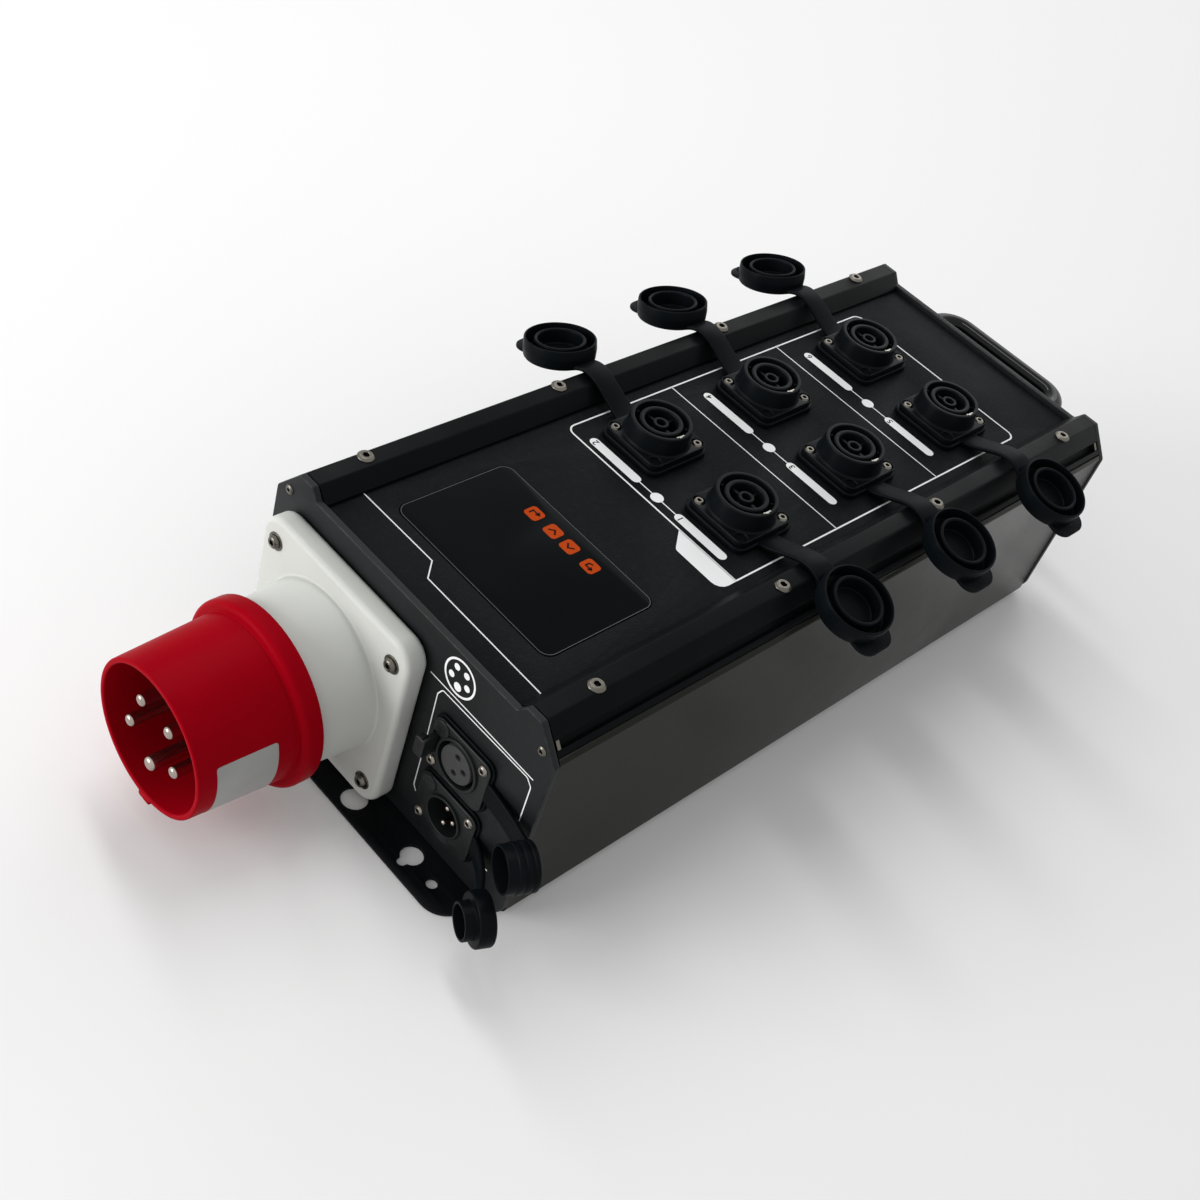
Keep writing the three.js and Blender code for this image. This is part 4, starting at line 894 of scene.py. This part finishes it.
neck_foot = flange.neck + flange.fillet + flange.foot_margin
neck = turned([
    (flange.bore, -flange.spigot_depth, 0.5), (inlet.spigot, -flange.spigot_depth, 0.5),
    (inlet.spigot, flange.depth / 2), (neck_foot, flange.depth / 2),
    (neck_foot, flange_front - 0.02), (flange.neck, flange_front, flange.fillet),
    (flange.neck_tip, neck_end, 0.4), (flange.bore, neck_end, 0.4),
], 120, 8)
flange_outline = box_outline(0, 0, flange.width, flange.width, flange.corner, 12)
flange_plate = slab(flange_outline, [hole(0, 0, inlet.spigot + 1, 96)], clearance, flange_front,
                    flange.edge, 6)
piece("inlet_flange_moulding", gathered(neck, flange_plate), white_moulding,
      nodes=["inlet_flange"], place=inlet_place)
spots = [(across * flange_screw.x, up * flange_screw.z, flange_front)
         for across in (-1, 1) for up in (-1, 1)]
screws("inlet_flange_screws", flange_screw.size, spots, screw_steel, inlet_place)
shroud_place = inlet_place @ at(0, 0, neck_end + clearance)


def shroud_inner(height):
    """The shroud's inner radius at a height over its foot."""
    rim_radius = shroud.rim - shroud.wall
    seat_radius = shroud.root - shroud.wall
    share = (height - shroud.seat_depth) / (shroud.length - shroud.seat_depth)
    return seat_radius + (rim_radius - seat_radius) * share


tube = turned([
    (shroud.seat, 0), (shroud.collar, 0, 1.6),
    (shroud.collar, shroud.collar_length, shroud.collar_edge),
    (shroud.root, shroud.collar_length, 0.45), (shroud.rim, shroud.length, shroud.rim_edge),
    (shroud_inner(shroud.length), shroud.length, shroud.rim_edge),
    (shroud_inner(shroud.seat_depth), shroud.seat_depth), (shroud.seat, shroud.seat_depth),
], 128, 6)
key_side, key_top = shroud.key_width / 2, -shroud.rim - shroud.key_height
key_foot = -shroud.rim + shroud.key_root
key_outline = rounded([(-key_side, key_top, shroud.key_edge), (key_side, key_top, shroud.key_edge),
                       (key_side, key_foot), (-key_side, key_foot)], 5)
ridge = slab(key_outline, [], shroud.length - shroud.key_length, shroud.length - shroud.rim_edge,
             0.4, 3)
piece("inlet_shroud_moulding", gathered(tube, ridge), red_moulding,
      nodes=["inlet_shroud"], place=shroud_place)

carrier_back = shroud.seat_depth + clearance
carrier_front = carrier_back + carrier.thickness
pin_places = [(x, y, pin.radius if i else pin.earth)
              for i, (x, y) in enumerate(pin_circle(pin.circle))]
bores = [hole(x, y, radius + clearance, 32) for x, y, radius in pin_places]
disc = slab(hole(0, 0, shroud_inner(carrier_front) - clearance, 96), bores, carrier_back,
            carrier_front, 0.5, 3)
bung = slab(hole(0, 0, carrier.plug_radius, 96), bores, carrier_back - carrier.plug_length,
            carrier_back, 0.3)
piece("pin_carrier_moulding", gathered(disc, bung), red_moulding,
      nodes=["inlet_pin_carrier"], place=shroud_place)
pin_tip = shroud.length - pin.sunk
pin_root = pin_tip - pin.length
for count, (x, y, radius) in enumerate(pin_places, 1):
    rod = turned([(0, pin_root), (radius, pin_root, 0.3), (radius, pin_tip, radius * 0.6),
                  (0, pin_tip)], 48, 8)
    piece(f"contact_pin_{count}", rod, pin_nickel, nodes=[f"inlet_pin_{count}"],
          place=shroud_place @ at(x, y))


def label_solid():
    """A bare sticker bent round the tapering shroud, with rounded corners."""
    wide = (label.end - label.start) * shroud.rim
    steps, rows, bend = 5, 12, label.corner
    corner = [(bend * (1 - cos(a)), bend * (1 - sin(a)))
              for a in (pi / 2 * i / steps for i in range(steps + 1))]
    middle = [(bend + (wide - 2 * bend) * i / 20, 0) for i in range(1, 20)]
    columns = corner + middle + [(wide - across, margin) for across, margin in reversed(corner)]
    sticker = bmesh.new()
    borders = []
    for lift in (label.foot, label.height):
        sheet = []
        for across, margin in columns:
            angle = label.start + across / shroud.rim
            column = []
            for row in range(rows + 1):
                height = label.low + margin + (label.high - label.low - 2 * margin) * row / rows
                taper = (height - shroud.collar_length) / (shroud.length - shroud.collar_length)
                radius = shroud.root + (shroud.rim - shroud.root) * taper + lift
                point = (radius * cos(angle), radius * sin(angle), height)
                column.append(sticker.verts.new(point))
            sheet.append(column)
        for left, right in zip(sheet, sheet[1:]):
            for a, b, c, d in zip(left, left[1:], right[1:], right):
                sticker.faces.new((a, b, c, d))
        feet, heads = [column[0] for column in sheet], [column[-1] for column in sheet]
        borders.append(feet + sheet[-1][1:] + heads[-2::-1] + sheet[0][-2:0:-1])
    inner, outer = borders
    for i in range(len(inner)):
        sticker.faces.new((inner[i - 1], inner[i], outer[i], outer[i - 1]))
    return sticker


piece("inlet_label", label_solid(), label_white, place=shroud_place)

# ---- Data sockets ---------------------------------------------------------------------
# Two die-cast sockets with black flanges: above, the female one with its insert and push
# latch, and below the male one with three pins. Each stands on a rubber seal.
xlr = Sizes(width=31, height=26, thickness=2, corner=4, depth=20, seal_margin=1, seal=1,
            contacts=4.3, screw_x=12, screw_z=9.5, screw=(2.3, 1.1))
collar = Sizes(radius=11.1, proud=1, edge=0.4)
corner_boss = Sizes(radius=3.9, height=0.7, x=-11, z=9)
female_bore = Sizes(radius=9.8, depth=13.6, insert=8.1, sunk=0.2, hole=1.3, hole_depth=7)
male_bore = Sizes(radius=8.2, depth=12.6, collar=9.4, pin=1.2, pin_sunk=1.2)
latch = Sizes(x=12.8, width=2.8, height=9, proud=6.2, depth=5.6, pad_low=2.2, pad=4.4, pad_x=14.2)
seal_front = clearance + xlr.seal
xlr_back = seal_front + clearance
xlr_face = xlr_back + xlr.thickness
flange_face = xlr_face - collar.proud
contact_places = [(xlr.contacts * cos(q * pi / 2), xlr.contacts * sin(q * pi / 2))
                  for q in (-1, 0, 1)]
female_place = outwards @ at(female.x, female.z)
male_place = outwards @ at(male.x, male.z)
die_cast = coated("black_die_cast", (0.009, 0.0105, 0.0105), 0.36, grain=0.12, grain_size=0.4,
                  wear_and_highlight=0.6, gloss=0.2)
insert_black = coated("insert_black", (0.045, 0.046, 0.046), 0.5, mottle=0.08, grain=0.1,
                      grain_size=0.4, gloss=0.15)
screw_nickel = coated("screw_nickel", (0.26, 0.24, 0.21), 0.3, metal=1.0, mottle=0.25, spread=0.1)


def socket_shell(ring, bore, slots):
    """The barrel with its collar, the flange plate, and a round boss in the corner that has
    no screw."""
    foot, floor = xlr_back + 0.1, xlr_face - bore.depth
    barrel = turned([
        (0, -xlr.depth), (socket_barrel, -xlr.depth, 0.5), (socket_barrel, foot), (ring, foot),
        (ring, xlr_face, collar.edge), (bore.radius, xlr_face, collar.edge),
        (bore.radius, floor), (0, floor),
    ], 72)
    corners = box_outline(0, 0, xlr.width, xlr.height, xlr.corner, 8)
    holes = [hole(0, 0, bore.radius + 0.6, 72), *slots]
    plate = slab(corners, holes, xlr_back, flange_face, 0.5, 3)
    top = flange_face + corner_boss.height
    boss = turned([(0, foot), (corner_boss.radius, foot), (corner_boss.radius, top, 0.5),
                   (0, top)], 36)
    return gathered(barrel, plate, (boss, at(corner_boss.x, corner_boss.z)))


latch_slot = box_outline(-latch.x, 0, latch.width + 2 * clearance, latch.height + 2 * clearance,
                         0.3, 2)
female_shell = socket_shell(collar.radius, female_bore, [latch_slot])
piece("female_socket_shell", female_shell, die_cast, nodes=["xlr_female"],
      place=female_place)
insert_face = xlr_face - female_bore.sunk
insert_low = insert_face - female_bore.hole_depth
socket_holes = [hole(x, y, female_bore.hole, 20) for x, y in contact_places]
insert = slab(hole(0, 0, female_bore.insert, 64), socket_holes, insert_low, insert_face, 0.5, 3)
stub = slab(hole(0, 0, female_bore.insert - 0.01, 64), [], xlr_face - female_bore.depth - 0.1,
            insert_low + 0.01)
piece("female_socket_insert", gathered(insert, stub), insert_black,
      place=female_place)
tongue = slab(box_outline(-latch.x, 0, latch.width, latch.height, 0.7, 4), [],
              xlr_face - latch.depth, xlr_face + latch.proud - 0.1, 0.35, 3)
pad = slab(box_outline(-latch.pad_x, 0, latch.pad, latch.height, 1, 4), [],
           xlr_face + latch.pad_low, xlr_face + latch.proud, 0.6, 3)
piece("push_latch", gathered(tongue, pad), die_cast, "latch", ["xlr_latch"],
      female_place)

male_shell = socket_shell(male_bore.collar, male_bore, [])
piece("male_socket_shell", male_shell, die_cast, nodes=["xlr_male"],
      place=male_place)
low, top = xlr_face - male_bore.depth - 0.5, xlr_face - male_bore.pin_sunk
contacts = []
for x, y in contact_places:
    rod = turned([(0, low), (male_bore.pin, low), (male_bore.pin, top, male_bore.pin * 0.8),
                  (0, top)], 28, 5)
    contacts.append((rod, at(x, y)))
piece("male_socket_pins", gathered(*contacts), pin_nickel, place=male_place)
for word, place in (("female", female_place), ("male", male_place)):
    spots = [(s * xlr.screw_x, s * xlr.screw_z, flange_face) for s in (-1, 1)]
    screws(f"{word}_socket_screws", xlr.screw, spots, screw_nickel, place)

# ---- Data caps ------------------------------------------------------------------------
# Rubber caps for the data sockets, on straps that are moulded to the seals. The female
# socket's cap is a ribbed cup, and the male one's a thick body with a hollow plug.
data_cap_tilt = radians(-24)
data_strap = Sizes(width=10, thickness=1.8, bends=((0.3, 0.1), (0.73, 0.5)), waist=0.08,
                   overlap=0.5, half_bend=8, steps=40)
female_cap = Sizes(radius=9, wall=0.8, depth=12, floor=2, rib=0.4, rib_width=1.4, rib_pitch=3,
                   ribs=3, engaged=1.6, rest_x=86, rest_out=19.2)
male_cap = Sizes(radius=10.6, length=6.6, plug=7.4, wall=1.1, plug_length=4.4, depth=11,
                 floor=2.4, engaged=2, rest_x=82.5, rest_out=27.2)


def female_cap_solid():
    """A ribbed cup with its rim at height 0."""
    radius, rib, width = female_cap.radius, female_cap.rib, female_cap.rib_width
    corners = [(0, -female_cap.depth)]
    for step in range(female_cap.ribs):
        bottom = step * female_cap.rib_pitch - female_cap.depth
        corners.append((radius + rib, bottom, 0.45 if step == 0 else 0.35))
        corners.append((radius + rib, bottom + width + 0.3, 0.3))
        corners.append((radius, bottom + width + rib + 0.2, 0.2))
        if step + 1 < female_cap.ribs:
            corners.append((radius, bottom + female_cap.rib_pitch - 0.3, 0.2))
    inner = radius - female_cap.wall
    floor_top = female_cap.floor - female_cap.depth
    corners += [(radius, 0, 0.4), (inner, 0, 0.4), (inner, floor_top, 0.6), (0, floor_top)]
    return turned(corners, 72, 3)


def male_cap_solid():
    """A thick body with a hollow plug, its rim at height 0."""
    bottom = -male_cap.plug_length - male_cap.length
    inner, floor_top = male_cap.plug - male_cap.wall, bottom + male_cap.floor
    return turned([
        (0, bottom), (male_cap.radius, bottom, 0.9),
        (male_cap.radius, -male_cap.plug_length, 0.8), (male_cap.plug, -male_cap.plug_length, 0.4),
        (male_cap.plug, 0, 0.4), (inner, 0, 0.35), (inner, floor_top, 0.5), (0, floor_top),
    ], 72, 4)


seal_margin = 2 * xlr.seal_margin
for word, socket, sizes, lid, place in (
    ("female", female, female_cap, female_cap_solid(), female_place),
    ("male", male, male_cap, male_cap_solid(), male_place),
):
    rim_at = (sizes.rest_x - socket.x, sizes.rest_out)
    seal = seal_solid(xlr.width + seal_margin, xlr.height + seal_margin, xlr.corner + 1,
                      socket_barrel + clearance, clearance, seal_front)
    piece(f"{word}_socket_seal", seal, rubber, nodes=[f"xlr_{word}_gasket"],
          place=place)
    piece(f"{word}_socket_lid", lid, rubber, f"{word}_cap", [f"xlr_{word}_cap"],
          place @ rest_place(rim_at, data_cap_tilt))
    start = (xlr.width / 2 - data_strap.overlap, clearance + data_strap.thickness / 2)
    end = rest_point(rim_at, data_cap_tilt, 2 * sizes.wall - sizes.radius,
                     data_strap.thickness / 2 - sizes.depth)
    band = strap_solid(start, end, data_strap)
    tether(f"{word}_socket_strap", band, place)

# ---- Carrying bow ---------------------------------------------------------------------
# A round steel bar, bent twice and painted gloss black. Its two legs stand on the rear
# plate, and the pack is carried by it.
bow = Sizes(left=-39, right=45, reach=28, bar=9.4, bend=12, z=88.8)
bow_gloss = coated("bow_gloss_black", (0.003, 0.0034, 0.004), 0.13, mottle=0.08, grain=0.02,
                   grain_size=3, gloss=0.18, spread=0.02)


def bow_solid():
    """The bar, swept along its two legs, bends and grip."""
    radius, steps = bow.bar / 2, 40
    left_x, right_x = bow.left + radius, bow.right - radius
    foot_y = half_length + clearance
    bend_y = half_length + bow.reach - radius - bow.bend
    route = [(left_x, foot_y)]
    route += arc_points(left_x + bow.bend, bend_y, bow.bend, pi, pi / 2, 14)
    route += arc_points(right_x - bow.bend, bend_y, bow.bend, pi / 2, 0, 14)
    route.append((right_x, foot_y))
    section = hole(0, 0, radius, steps)
    rings = []
    for i, (x, y) in enumerate(route):
        before, after = route[max(0, i - 1)], route[min(len(route) - 1, i + 1)]
        along = Vector((after[0] - before[0], after[1] - before[1])).normalized()
        rings.append([(x - along.y * u, y + along.x * u, bow.z + v) for u, v in section])
    return skinned(rings)


piece("carrying_bow", bow_solid(), bow_gloss, nodes=["handle"])

# ---- Inside ---------------------------------------------------------------------------
# The power board with its heat sink and chokes, the mains terminals, and the display's
# module and board are bought parts. They keep their plain forms inside the closed box.
board_green = coated("board_green", (0.012, 0.09, 0.035), 0.35, mottle=0.15, grain=0.1,
                     grain_size=0.8)
bare_aluminium = coated("bare_aluminium", (0.6, 0.61, 0.62), 0.35, metal=1.0, mottle=0.06,
                        grain=0.1, grain_size=0.6)
copper_wire = coated("copper_wire", (0.5, 0.2, 0.07), 0.3, metal=0.9, mottle=0.2, grain=0.5,
                     grain_size=1.2)
terminal_green = coated("terminal_green", (0.04, 0.25, 0.08), 0.45, mottle=0.08, grain=0.08)
inner_finishes = {
    "power_board": board_green, "control_board": board_green, "heat_sink": bare_aluminium,
    "terminal_block": terminal_green, "display_module": moulded_black,
}
inner_finishes.update({f"choke_{i}": copper_wire for i in range(1, 7)})
inner_finishes.update({f"board_standoff_{i}": pin_nickel for i in range(1, 5)})
for node, finish in inner_finishes.items():
    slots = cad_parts[node].data.materials
    slots.clear()
    slots.append(finish)

# ---- Floor and light ------------------------------------------------------------------
# A plain pale floor just under the pack, a long narrow lamp above it, a stronger one low
# from the front left and a weak one from behind. The camera and reflections see a white
# room. Lengths are in metres.
floor_sheet = bmesh.new()
bmesh.ops.create_grid(floor_sheet, x_segments=1, y_segments=1, size=6)
floor_mesh = bpy.data.meshes.new("floor")
floor_sheet.to_mesh(floor_mesh)
floor_sheet.free()
floor = set_up("floor", floor_mesh)
floor.location.z = -0.0002
pale = bpy.data.materials.new("pale_floor")
pale.use_nodes = True
ground = pale.node_tree.nodes["Principled BSDF"]
ground.inputs["Base Color"].default_value = (0.92, 0.92, 0.92, 1)
ground.inputs["Roughness"].default_value = 0.9
ground.inputs["Specular IOR Level"].default_value = 0.0
floor_mesh.materials.append(pale)


def soft_lamp(name, place, target, width, height, power):
    """A flat lamp that faces a point."""
    light = bpy.data.lights.new(name, "AREA")
    light.shape = "RECTANGLE"
    light.size = width
    light.size_y = height
    light.energy = power
    lamp = set_up(name, light)
    lamp.location = place
    facing = Vector(target) - Vector(place)
    lamp.rotation_euler = facing.to_track_quat("-Z", "Y").to_euler()


soft_lamp("top_lamp", (-0.6, 0.1, 1.3), (0, 0, 0.05), 0.16, 1.1, 5.5)
soft_lamp("front_lamp", (-0.75, -1.5, 0.36), (0, -0.1, 0.05), 0.9, 0.9, 21)
soft_lamp("rear_lamp", (-0.6, 1.3, 0.9), (0, 0.1, 0.05), 0.8, 0.8, 3)

room = bpy.data.worlds.new("room")
room.use_nodes = True
bpy.context.scene.world = room
tree = room.node_tree
tree.nodes.clear()
soft, white = (
    shader_node(tree, "Background", {"Color": (1, 1, 1, 1), "Strength": strength})
    for strength in (0.58, 1)
)
ray = shader_node(tree, "LightPath")
shown = ray.outputs["Is Camera Ray"]
for kind in ("Is Glossy Ray", "Is Transmission Ray"):
    either = shader_node(tree, "Math", feeds={0: shown, 1: ray.outputs[kind]})
    either.operation = "MAXIMUM"
    shown = either.outputs["Value"]
chosen = shader_node(tree, "MixShader", feeds={
    0: shown, 1: soft.outputs["Background"], 2: white.outputs["Background"],
})
shader_node(tree, "OutputWorld", feeds={"Surface": chosen.outputs["Shader"]})
bpy.context.scene.view_settings.view_transform = "Standard"
